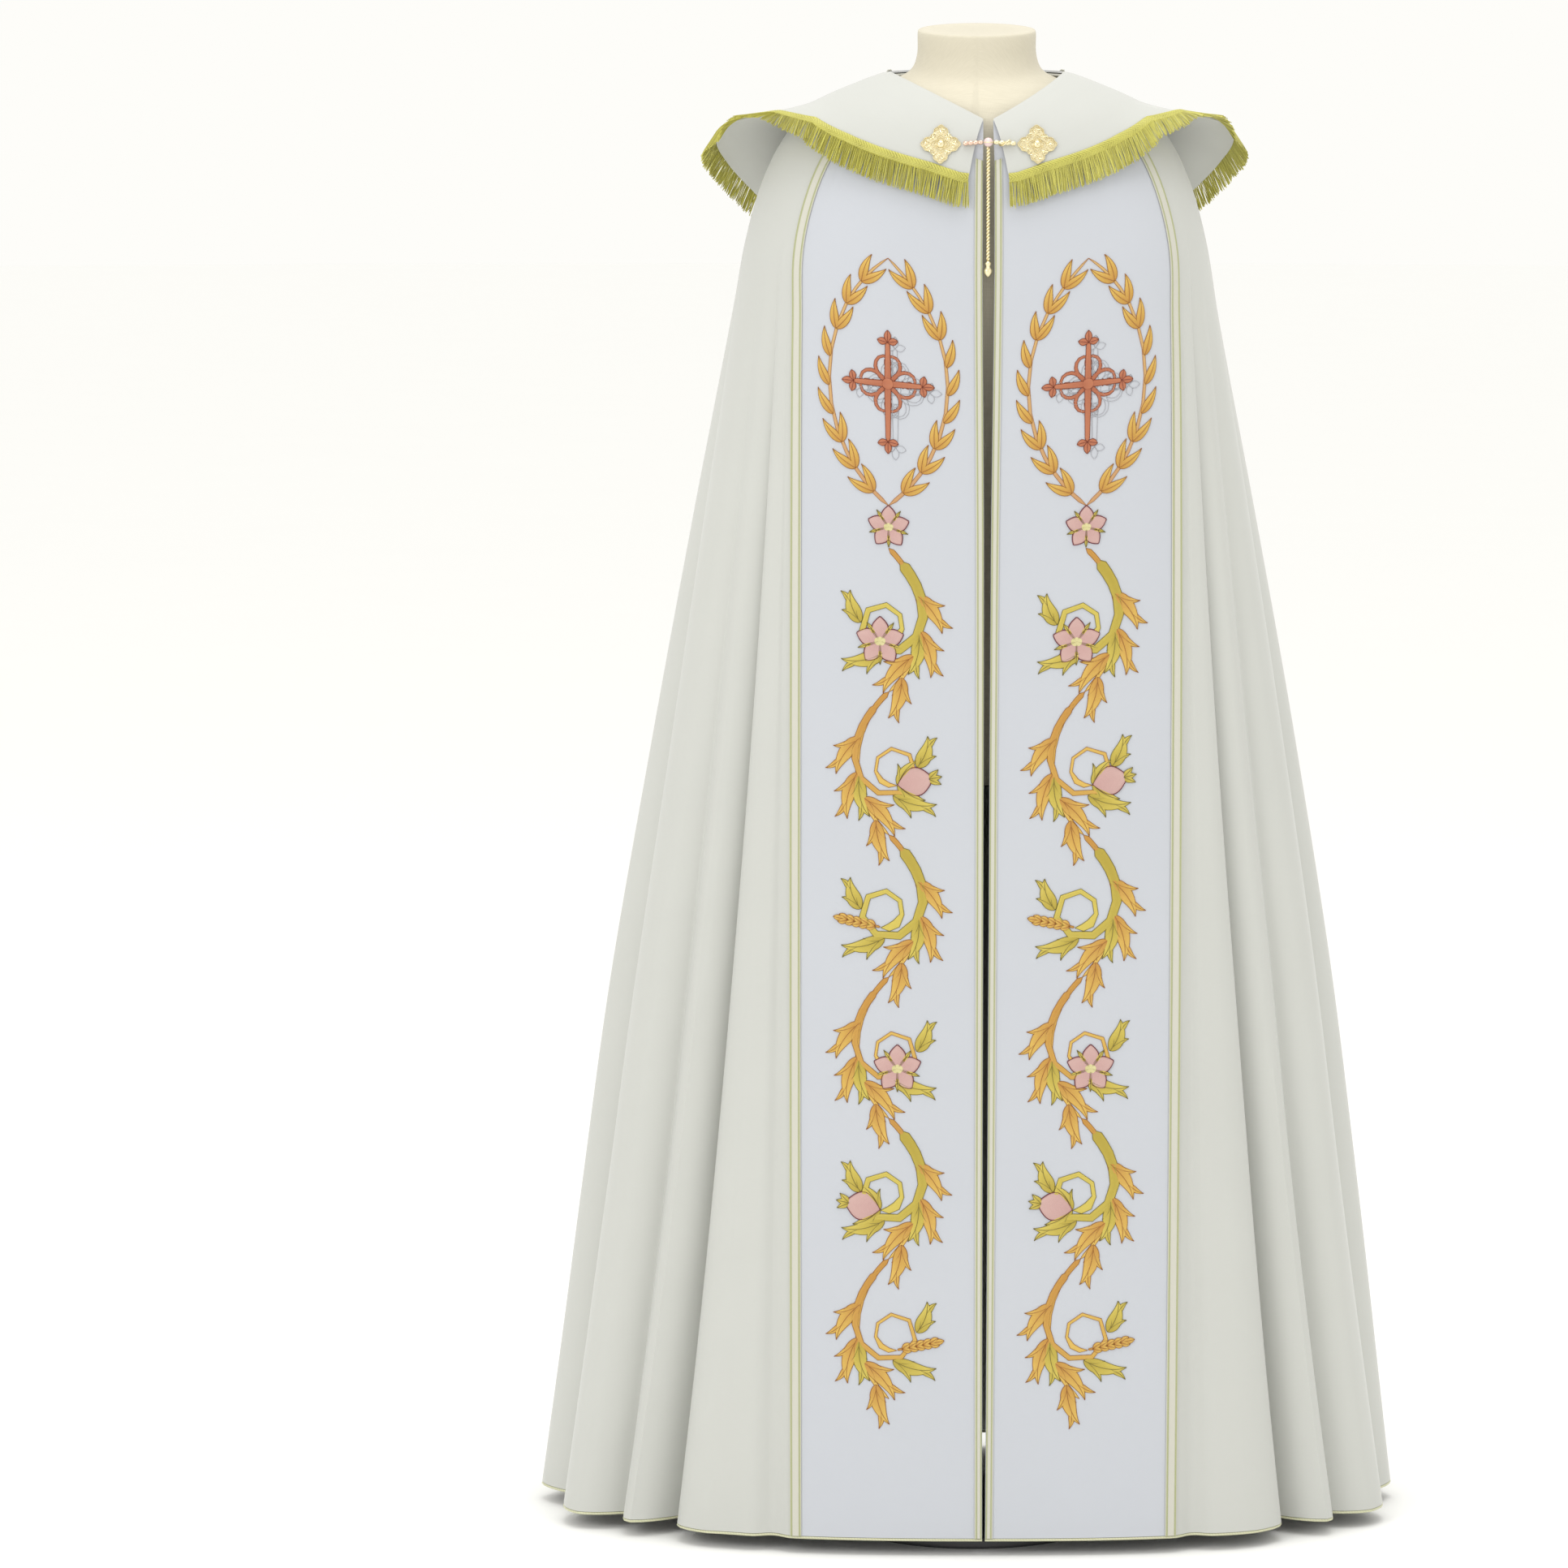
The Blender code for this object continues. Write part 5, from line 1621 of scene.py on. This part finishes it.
@dataclass
class Embroidery:
    """Satin-stitched shapes laid on a panel, each a low pad with a cord round it."""

    name: str
    blades: list[Blade]
    panel: "Orphrey | Hood"
    origin: tuple[float, float]
    unit: float = 0.00084
    squeeze: float = 1.0
    stations: int = 17
    pad: float = 0.0009
    cord: float = 0.00042

    @cached_property
    def shares(self) -> Array:
        """Shares of the length at the stations, twice as close at both ends."""
        even = np.linspace(0, 1, self.stations)
        return even - 0.085 * np.sin(2 * math.pi * even)

    def profile(self, cap: Array, pick: Array) -> Array:
        """Half widths from foot to tip, for each outline by its own formula; stems have round ends.

        Args:
            cap: each blade's half width as a share of its length, as a column.
            pick: number of each blade's outline, as a column.

        Returns:
            Half widths as shares of the greatest.
        """
        s = self.shares[None, :]
        end = np.sqrt(np.clip((1 - s) / 0.05, 0, 1))
        start = np.sqrt(1 - (1 - np.clip(s / np.minimum(cap, 0.4), 0, 1)) ** 2)
        forms = [
            (1 - 0.35 * s) * start * end,
            ((1 - 0.72 * s) + 0.62 * np.exp(-(((s - 0.955) / 0.035) ** 2))) * start * end,
            np.maximum(np.sin(math.pi * s**0.66), 0.24 * (1 - s) * start),
            np.sin(math.pi * s**1.05) ** 0.9,
            np.sqrt(np.clip(1 - (2 * s - 1) ** 2, 0, 1)),
        ]
        return np.select([pick == k for k in range(len(forms))], forms)

    def build(self) -> list[bpy.types.Object]:
        """Makes the pads and the cords, both worked out for all the shapes at once."""
        blades = self.blades
        share = self.shares
        table = np.array([(b.x, b.y, b.heading, b.length, b.turn, b.width, b.ease) for b in blades])
        x, y, heading, length, turn, width, ease = (table[:, k, None] for k in range(7))
        way = np.radians(heading + turn * share[None, :] ** ease)
        step = length * np.diff(share)
        middle = np.stack([np.cos(way), np.sin(way)], axis=-1)
        walked = np.cumsum((middle[:, 1:] + middle[:, :-1]) / 2 * step[..., None], axis=1)
        path = np.concatenate([np.zeros((len(blades), 1, 2)), walked], axis=1) + np.stack([x, y], axis=-1)
        across = np.stack([-np.sin(way), np.cos(way)], axis=-1)
        pick = np.array([[b.outline.value] for b in blades])
        half = width * self.profile(width / length, pick)
        half = np.maximum(half, 0.12)
        base = np.array([[b.layer] for b in blades]) * 0.00016
        filled = np.array([b.filled for b in blades])
        shown = [b for b in blades if b.filled]
        pads = self.build_pads(path[filled], across[filled], half[filled], base[filled], shown)
        return [pads, self.build_cords(path, across, half, base, pick)]

    def placed(self, flat: Array, lift: Array) -> Array:
        """Pattern points placed on the panel."""
        x = flat[..., 0] * self.unit + self.origin[0]
        return self.panel.place(x, self.origin[1] + flat[..., 1] * self.unit * self.squeeze, lift)

    def build_pads(
        self, path: Array, across: Array, half: Array, base: Array, blades: list[Blade]
    ) -> bpy.types.Object:
        """Makes the pads: each section is domed, with a groove along the midrib.

        Args:
            path: midribs.
            across: directions across them.
            half: half widths.
            base: lifts of the shapes' layers.
            blades: the shapes.

        Returns:
            The pads.
        """
        c = np.array([-1, -0.82, -0.45, 0, 0.45, 0.82, 1, 0.5, -0.5])
        dome = np.array([0.10, 0.62, 0.95, 0.80, 0.95, 0.62, 0.10, -0.12, -0.12])
        flat = path[:, :, None] + across[:, :, None] * (c * half[..., None])[..., None]
        tall = np.minimum(self.pad, 0.34 * half * self.unit)[..., None]
        lift = base[..., None] + 0.00012 + tall * dome
        sections = self.placed(flat, lift)
        run = np.broadcast_to(arc_length(path, 1)[..., None] * self.unit, lift.shape)
        uv = np.stack([run, c * half[..., None] * self.unit], axis=-1)
        foot = np.array([b.thread.value.foot for b in blades])[:, None, None]
        tip = np.array([b.thread.value.tip for b in blades])[:, None, None]
        share = self.shares[None, :, None, None]
        mixed = np.clip(share * 1.25 - 0.05 + 0.22 * (np.abs(c) - 0.4)[None, None, :, None], 0, 1)
        dye = foot + (tip - foot) * mixed
        dye = np.concatenate([dye, np.ones((*dye.shape[:3], 1))], axis=-1)
        made = carried(sections, uv, {"dye": dye})
        return dressed(made.make(self.name + "_stitches", STITCH, 70), STITCH)

    def build_cords(
        self, path: Array, across: Array, half: Array, base: Array, pick: Array
    ) -> bpy.types.Object:
        """Makes the cords round every shape and the veins down the leaves and petals.

        Args:
            path: midribs.
            across: directions across them.
            half: half widths.
            base: lifts of the shapes' layers.
            pick: number of each shape's outline.

        Returns:
            The cords.
        """
        veined = np.isin(pick[:, 0], (Outline.LEAF.value, Outline.PETAL.value))
        veined &= np.array([b.filled and b.thread is not Thread.PINK for b in self.blades])
        stout = np.array([1.9 if b.thread is Thread.PINK else 1.0 for b in self.blades])
        lines, lifts, dyes, sizes = [], [], [], []
        for side, chosen, rise in ((-1, slice(None), 0.10), (1, slice(None), 0.10), (0, veined, 0.86)):
            edge = path[chosen] + across[chosen] * (side * half[chosen])[..., None]
            tall = np.minimum(self.pad, 0.34 * half[chosen] * self.unit)
            lines.append(edge)
            lifts.append(base[chosen] + 0.00022 + tall * rise)
            colour = np.array([b.thread.value.outline for b in self.blades])[chosen]
            dyes.append(colour)
            sizes.append(self.cord * stout[chosen])
        line, lift, dye = np.concatenate(lines), np.concatenate(lifts), np.concatenate(dyes)
        thick = np.concatenate(sizes)[:, None, None]
        sideways = np.gradient(line, axis=1)
        sideways = unit(np.stack([-sideways[..., 1], sideways[..., 0]], axis=-1))
        turn = np.radians([90, 210, 330])
        ring = np.cos(turn)[None, None, :, None] * sideways[:, :, None] * (thick / self.unit)[..., None]
        sections = self.placed(line[:, :, None] + ring, lift[..., None] + np.sin(turn) * thick)
        run = np.broadcast_to(arc_length(line, 1)[..., None] * self.unit, sections.shape[:3])
        uv = np.stack([run, np.zeros_like(run)], axis=-1)
        shade = np.ones((*sections.shape[:3], 4))
        shade[..., :3] = dye[:, None, None]
        made = carried(sections, uv, {"dye": shade})
        return dressed(made.make(self.name + "_outlines", OUTLINE, 80), OUTLINE)


@dataclass
class Clasp:
    """The clasp: two openwork plates, a bar on each side of a stone, and a rope chain with a drop."""

    height: float = 1.463
    spread: float = 0.0485
    plate: float = 0.0172
    lobe: float = 0.0034
    wire: float = 0.00055
    bar: float = 0.0024
    stone: float = 0.0048
    chain: float = 0.0013
    chain_end: float = 1.3480
    chain_forward: float = 0.010
    twists: int = 16

    def seat(self, x: float, z: float) -> tuple[Array, Array]:
        """The hood's outer face over a place seen from the front, and the direction out of it.

        Args:
            x: where it is across.
            z: its height.

        Returns:
            The point and the direction.
        """
        middle = SHELL.opening_shift
        side = RIGHT if x >= middle else LEFT
        rows = np.linspace(0, 5, 200)
        angle = SHELL.angle_at_width(np.full(rows.shape, abs(x - middle * 0.9)), rows, False)
        points = SHELL.point(angle, rows, side)
        k = int(np.argmin(np.abs(points[:, 2] - z)))
        out = SHELL.frame(angle[k], rows[k], side)[0]
        return points[k] + out * (Hood.lift + CLOTH / 2), out

    def build(self) -> None:
        """Makes all parts of the clasp."""
        middle = SHELL.opening_shift
        feet = {s: self.build_plate(s, w) for s, w in ((LEFT, "left"), (RIGHT, "right"))}
        reach = self.spread - self.plate - self.lobe - 2 * GAP - 0.0006
        room = self.stone + 2 * GAP
        seat, out = self.seat(middle + room, self.height)
        stone = seat * np.array([0, 1, 1]) + np.array([middle, 0, 0]) + out * (self.stone + GAP)
        for side, word in ((LEFT, "left"), (RIGHT, "right")):
            foot, out = self.seat(middle + side * reach, self.height)
            start = foot + out * (self.bar + 3 * GAP)
            self.build_bar(word, side, start, stone + np.array([side * room, 0, 0]))
        self.build_stone(stone)
        self.build_chain(stone, min(foot[1] for foot in feet.values()) - self.chain_forward)

    def build_plate(self, side: int, word: str) -> Array:
        """Makes one plate: a thin pierced-looking ground, scalloped wires, spirals, beads and a boss.

        Args:
            side: LEFT or RIGHT.
            word: the side in a word.

        Returns:
            The plate's centre.
        """
        x = SHELL.opening_shift + side * self.spread
        foot, out = self.seat(x, self.height)
        right = unit(np.cross(out, [0, 0, 1.0]))
        up = np.cross(right, out)
        up, right = up * np.sign(up[2]), right * np.sign(right[0])
        turn = np.linspace(0, 2 * math.pi, 144, endpoint=False)
        radius = self.plate + self.lobe * np.cos(4 * turn) + 0.0006 * np.cos(16 * turn)
        some = range(0, 144, 4)
        places = [(x + radius[k] * math.cos(turn[k]), radius[k] * math.sin(turn[k])) for k in some]
        near = [self.seat(px, self.height + rise)[0] for px, rise in places]
        foot = foot + out * (max(max(float(np.dot(p - foot, out)) for p in near), 0) + GAP)

        def flat(r: Array, t: Array, lift: Array | float) -> Array:
            """Points on the plate by radius, angle and lift."""
            r, t, lift = np.broadcast_arrays(r, t, lift)
            level = (r * np.cos(t))[..., None] * right + (r * np.sin(t))[..., None] * up
            return foot + level + lift[..., None] * out

        rim = radius * 0.93
        steps = ((1.0, 0.0), (1.0, 0.0005), (0.5, 0.0009), (0.2, 0.0009))
        ground = np.stack([flat(rim * scale, turn, height) for scale, height in steps])
        uv = np.stack(np.broadcast_arrays(turn[None], np.arange(4.0)[:, None]), axis=-1)
        parts = [carried(ground[None], uv[None])]
        closed = np.append(turn, turn[0])
        ring = np.append(radius, radius[0])
        wires = ((0.955, 0.0009, 0.9), (0.86, 0.0012, 0.6), (0.45, 0.0014, 0.8), (0.33, 0.0017, 0.6))
        for scale, lift, thick in wires:
            path = flat(ring * scale, closed, lift)
            parts.append(tubes(path[None], np.full((1, 145), self.wire * thick), out[None], 6))
        parts.append(self.scrolls(flat, out))
        parts.append(self.beads(flat, out, np.array([0.0105, 0.0053]), np.array([24, 12])))
        dome = [(0.0040 * math.cos(a), 0.0010 + 0.0028 * math.sin(a)) for a in np.linspace(0, 1.45, 8)]
        parts.append(turned(dome, foot, out, 28))
        tip = [(0.0012 * math.sin(a), 0.0046 - 0.0012 * math.cos(a)) for a in np.linspace(0.2, 3.0, 7)]
        parts.append(turned(tip, foot, out, 14))
        dressed(joined(parts).make("clasp_plate_fine_" + word, GOLD, 50), GOLD, "clasp_plate_" + word)
        return foot

    def scrolls(self, flat: Callable, out: Array) -> Surface:
        """Wire scrolls between the rings: pairs of spirals, one pair in each lobe and between lobes.

        Args:
            flat: gives points on the plate.
            out: direction out of it.

        Returns:
            The wires.
        """
        share = np.linspace(0, 1, 34)
        paths = []
        for lobe in range(8):
            centre = math.pi / 4 * lobe
            reach = 0.0136 if lobe % 2 == 0 else 0.0112
            for turn in (-1, 1):
                sweep = turn * (0.2 + 2.3 * math.pi * share**0.9)
                size = 0.0025 * (1 - 0.78 * share)
                cx, cy = reach, turn * 0.0024
                x = cx + size * np.cos(sweep + math.pi)
                y = cy + size * np.sin(sweep + math.pi)
                paths.append(flat(np.hypot(x, y), np.arctan2(y, x) + centre, 0.0010 + 0.0005 * share))
        paths = np.array(paths)
        radius = np.full(paths.shape[:2], self.wire * 0.75)
        return tubes(paths, radius, out[None, None], 5)

    def beads(self, flat: Callable, out: Array, rings: Array, counts: Array) -> Surface:
        """Grains of metal in rings: small domes.

        Args:
            flat: gives points on the plate.
            out: direction out of it.
            rings: radii of the rings.
            counts: how many grains each has.

        Returns:
            The grains.
        """
        angle = np.concatenate([2 * math.pi * (np.arange(n) + 0.5) / n for n in counts])
        reach = np.repeat(rings, counts)
        rise = np.linspace(0, 1.3, 4)
        turn = np.linspace(0, 2 * math.pi, 7, endpoint=False)
        size = 0.00075
        x = (reach * np.cos(angle))[:, None, None] + size * np.cos(rise)[None, :, None] * np.cos(turn)
        y = (reach * np.sin(angle))[:, None, None] + size * np.cos(rise)[None, :, None] * np.sin(turn)
        lift = 0.0008 + size * 1.1 * np.sin(rise)[None, :, None] + 0 * x
        sections = flat(np.hypot(x, y), np.arctan2(y, x), lift)
        uv = np.stack(np.broadcast_arrays(turn[None, None], rise[None, :, None], x)[:2], axis=-1)
        return carried(sections, uv)

    def build_bar(self, word: str, side: int, start: Array, end: Array) -> None:
        """Makes one bar: turned beads and collars, and on the right a hook that closes over it.

        Args:
            word: the side in a word.
            side: LEFT or RIGHT.
            start: its end at the plate.
            end: its end at the stone.
        """
        length = float(np.linalg.norm(end - start))
        share = np.linspace(0, 1, 61)
        radius = self.bar * (0.62 + 0.38 * np.abs(np.sin(share * 4 * math.pi)) ** 0.7)
        radius[[0, -1]] *= 0.6
        profile = list(zip(radius, share * length))
        finish = ROSE if side == LEFT else GOLD
        parts = [turned(profile, start, end - start, 20)]
        if side == RIGHT:
            axis, forward = unit(end - start), np.array([0, -1.0, 0])
            bend = np.linspace(0, 1.25 * math.pi, 26)
            reach = length * (0.25 + 0.5 * bend / bend[-1])
            path = start + axis * reach[:, None]
            ring = np.outer(np.sin(bend), forward) + np.outer(np.cos(bend), [0, 0, 1.0])
            path = path + ring * 0.0030
            parts.append(tubes(path[None], np.full((1, 26), 0.0008), axis[None, None], 8))
        dressed(joined(parts).make("clasp_bar_fine_" + word, finish, 50), finish, "clasp_bar_" + word)

    def build_stone(self, centre: Array) -> None:
        """Makes the stone, a polished bead, in a thin collar of metal."""
        angle = np.linspace(0.06, math.pi - 0.06, 24)
        profile = [(self.stone * math.sin(a), -self.stone * math.cos(a)) for a in angle]
        made = turned(profile, centre, np.array([0, 0, 1.0]), 36)
        dressed(made.make("clasp_stone_fine", STONE, 80), STONE, "clasp_stone")
        turn = np.linspace(0, 2 * math.pi, 61)
        ring = np.stack([np.cos(turn), np.sin(turn), 0 * turn], axis=-1)
        paths = centre + ring * (self.stone * 0.99) + np.array([0, 0, 0.0])
        made = tubes(paths[None], np.full((1, 61), 0.0005), np.array([0, 0, 1.0])[None, None], 8)
        dressed(made.make("stone_collar", GOLD, 80), GOLD)

    def build_chain(self, stone: Array, end_y: float) -> None:
        """Makes the rope chain, two strands wound round each other, and the drop on its end.

        Args:
            stone: centre of the stone.
            end_y: how far forward the chain ends.
        """
        top = stone - np.array([0, 0, self.stone + GAP])
        end = np.array([stone[0], end_y, self.chain_end])
        share = np.linspace(0, 1, 12 * self.twists + 1)
        middle = top + (end - top) * share[:, None]
        along = unit(end - top)
        first = unit(np.cross(along, [1.0, 0, 0]))
        second = np.cross(along, first)
        strands = []
        for start in (0, math.pi):
            turn = start + 2 * math.pi * self.twists * share
            ring = np.cos(turn)[:, None] * first + np.sin(turn)[:, None] * second
            strands.append(middle + ring * self.chain * 0.85)
        radius = np.full((2, len(share)), self.chain)
        rope = tubes(np.array(strands), radius, along[None, None] + 0.3 * first, 8)
        dressed(rope.make("rope_chain", GOLD, 70), GOLD, "clasp_chain")
        profile = [
            (0.0010, 0.0), (0.0018, -0.0008), (0.0030, -0.0020), (0.0034, -0.0032), (0.0028, -0.0048),
            (0.0022, -0.0060), (0.0028, -0.0070), (0.0040, -0.0090), (0.0045, -0.0108), (0.0040, -0.0130),
            (0.0026, -0.0152), (0.0012, -0.0170), (0.0004, -0.0175),
        ]
        drop = turned(profile, end - np.array([0, 0, GAP]), np.array([0, 0, 1.0]), 24)
        dressed(drop.make("chain_drop_fine", GOLD, 60), GOLD, "chain_drop")


@dataclass
class DressForm:
    """The form that carries the cope: a torso and neck in linen, a pole and a round base."""

    sides: int = 128
    rows: int = 150
    pole_y: float = 0.045
    pole: float = 0.0125

    def build(self) -> None:
        """Makes the torso and the stand."""
        table = np.array([ring[1:] for ring in TORSO])
        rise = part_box("form_torso")[1][2] - (table[-1, 0] + table[-1, 5] * table[-1, 3])
        ring = hermite(table, np.linspace(0, len(table) - 1, self.rows))
        z, half_width, y_front, y_back, square, tilt = (ring[:, k, None] for k in range(6))
        turn = np.linspace(0, 2 * math.pi, self.sides, endpoint=False)[None, :]
        s, c = np.sin(turn), np.cos(turn)
        x = half_width * np.sign(s) * np.abs(s) ** (2 / square)
        y = (y_front + y_back) / 2 - (y_back - y_front) / 2 * np.sign(c) * np.abs(c) ** (2 / square)
        sections = np.stack([x, y, z + tilt * y + rise], axis=-1)
        last = sections[-1]
        heart = last.mean(axis=0)
        inner = np.stack([heart + (last - heart) * k for k in (0.94, 0.8, 0.5, 0.12)])
        sections = np.concatenate([sections, inner])
        run = arc_length(sections, 0)
        round_way = turn / (2 * math.pi) * 0.9
        uv = np.stack(np.broadcast_arrays(round_way, run), axis=-1)
        body = carried(sections[None], uv[None])
        dressed(body.make("form_body", LINEN, 60), LINEN, "form_torso")
        self.build_stand(float(sections[0, :, 2].min()))

    def build_stand(self, bottom: float) -> None:
        """Makes the pole and the base with rounded edges."""
        centre, axis = np.array([0, self.pole_y, 0]), np.array([0, 0, 1.0])
        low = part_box("form_pole")[0][2]
        pole = [(self.pole - 0.0008, low), (self.pole, low + 0.001), (self.pole, bottom - 0.0013)]
        pole.append((self.pole - 0.0008, bottom - 0.0003))
        dressed(turned(pole, centre, axis, 40).make("stand_pole", STEEL), STEEL, "form_pole")
        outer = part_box("form_base")[1][0]
        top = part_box("form_base")[1][2]
        turn = np.linspace(0, math.pi / 2, 7)
        base = [(outer - 0.003, 0.0), (outer, 0.003)]
        base += [(outer - 0.005 + 0.005 * math.cos(a), top - 0.005 + 0.005 * math.sin(a)) for a in turn]
        base += [(0.05, top), (0.02, top)]
        dressed(turned(base, centre, axis, 96).make("stand_base", STEEL), STEEL, "form_base")


@dataclass
class Studio:
    """A pale floor and background, soft lights and the camera."""

    distance: float = 6.5
    camera_height: float = 1.63
    aim: float = 0.795
    middle: float = (966 - 1200) / 1176
    pixels_per_metre: float = 1176.0

    def build(self) -> None:
        """Sets the floor, the lights, the world and the camera."""
        self.build_floor()
        self.build_light("soft_front_left", (-3.6, -4.2, 3.2), 2.2, 62.0)
        self.build_light("soft_front_right", (3.6, -4.2, 2.6), 3.0, 16.0)
        self.build_light("soft_above", (0.2, -0.6, 4.8), 3.0, 62.0)
        world = bpy.context.scene.world or bpy.data.worlds.new("studio")
        bpy.context.scene.world = world
        world.use_nodes = True
        back = world.node_tree.nodes["Background"]
        back.inputs["Color"].default_value = (0.990, 0.982, 0.948, 1.0)
        back.inputs["Strength"].default_value = 1.0
        bpy.context.scene.view_settings.view_transform = "Standard"
        self.build_camera()

    def build_floor(self) -> None:
        """Makes a wide, flat round floor."""
        turn = np.linspace(0, 2 * math.pi, 64, endpoint=False)
        profile = ((0.02, 0.0), (6.0, 0.0), (30.0, 0.0))
        circle = np.stack([np.cos(turn), np.sin(turn), 0 * turn], axis=-1)
        points = np.concatenate([r * circle + np.array([0, 0, z]) for r, z in profile])
        k = np.arange(192).reshape(3, 64)
        across = np.roll(k, -1, axis=1)
        faces = [quads(k[:-1], k[1:], across[1:], across[:-1]), k[0][None]]
        mesh = bpy.data.meshes.new("floor")
        mesh.from_pydata(points.tolist(), [], [face.tolist() for group in faces for face in group])
        mesh.materials.append(FLOOR.material)
        floor = bpy.data.objects.new("floor", mesh)
        bpy.context.collection.objects.link(floor)

    def build_light(self, name: str, place: tuple[float, float, float], size: float, power: float) -> None:
        """Adds one large area light that points at the middle of the cope."""
        data = bpy.data.lights.new(name, "AREA")
        data.shape, data.size, data.energy = "DISK", size, power
        light = bpy.data.objects.new(name, data)
        light.location = place
        light.rotation_euler = (Vector((0, 0, 0.85)) - Vector(place)).to_track_quat("-Z", "Y").to_euler()
        bpy.context.collection.objects.link(light)

    def build_camera(self) -> None:
        """Adds the camera at the photograph's angle, with the lens that gives its scale."""
        reach = math.hypot(self.distance, self.camera_height - self.aim)
        data = bpy.data.cameras.new("camera")
        data.sensor_width = 36.0
        data.lens = 36.0 * self.pixels_per_metre * reach / 1932
        data.clip_end = 100.0
        camera = bpy.data.objects.new("camera", data)
        camera.location = (self.middle, -self.distance, self.camera_height)
        way = Vector((0, self.distance, self.aim - self.camera_height))
        camera.rotation_euler = way.to_track_quat("-Z", "Y").to_euler()
        bpy.context.collection.objects.link(camera)
        bpy.context.scene.camera = camera


def main() -> None:
    """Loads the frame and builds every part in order."""
    logging.basicConfig(level=logging.INFO, format="%(name)s: %(message)s")
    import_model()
    mantle, hood = Mantle(), Hood()
    orphreys = {side: Orphrey(side) for side in (LEFT, RIGHT)}
    hem = mantle.build()
    fronts = {side: orphrey.build() for side, orphrey in orphreys.items()}
    mantle.build_piping(hem, fronts)
    line, normal = hood.build()
    fringe = Fringe().build(line, normal)
    for side, word in ((RIGHT, "right"), (LEFT, "left")):
        orphrey = orphreys[side]
        sewn = Embroidery("front_" + word, front_pattern(), orphrey, (0.0, 1.353)).build()
    sewn = Embroidery("hood", hood_pattern(), hood, (0.0, -0.016), 0.00079, 0.80).build()
    Clasp().build()
    DressForm().build()
    Studio().build()
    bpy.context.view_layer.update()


if __name__ == "__main__":
    main()
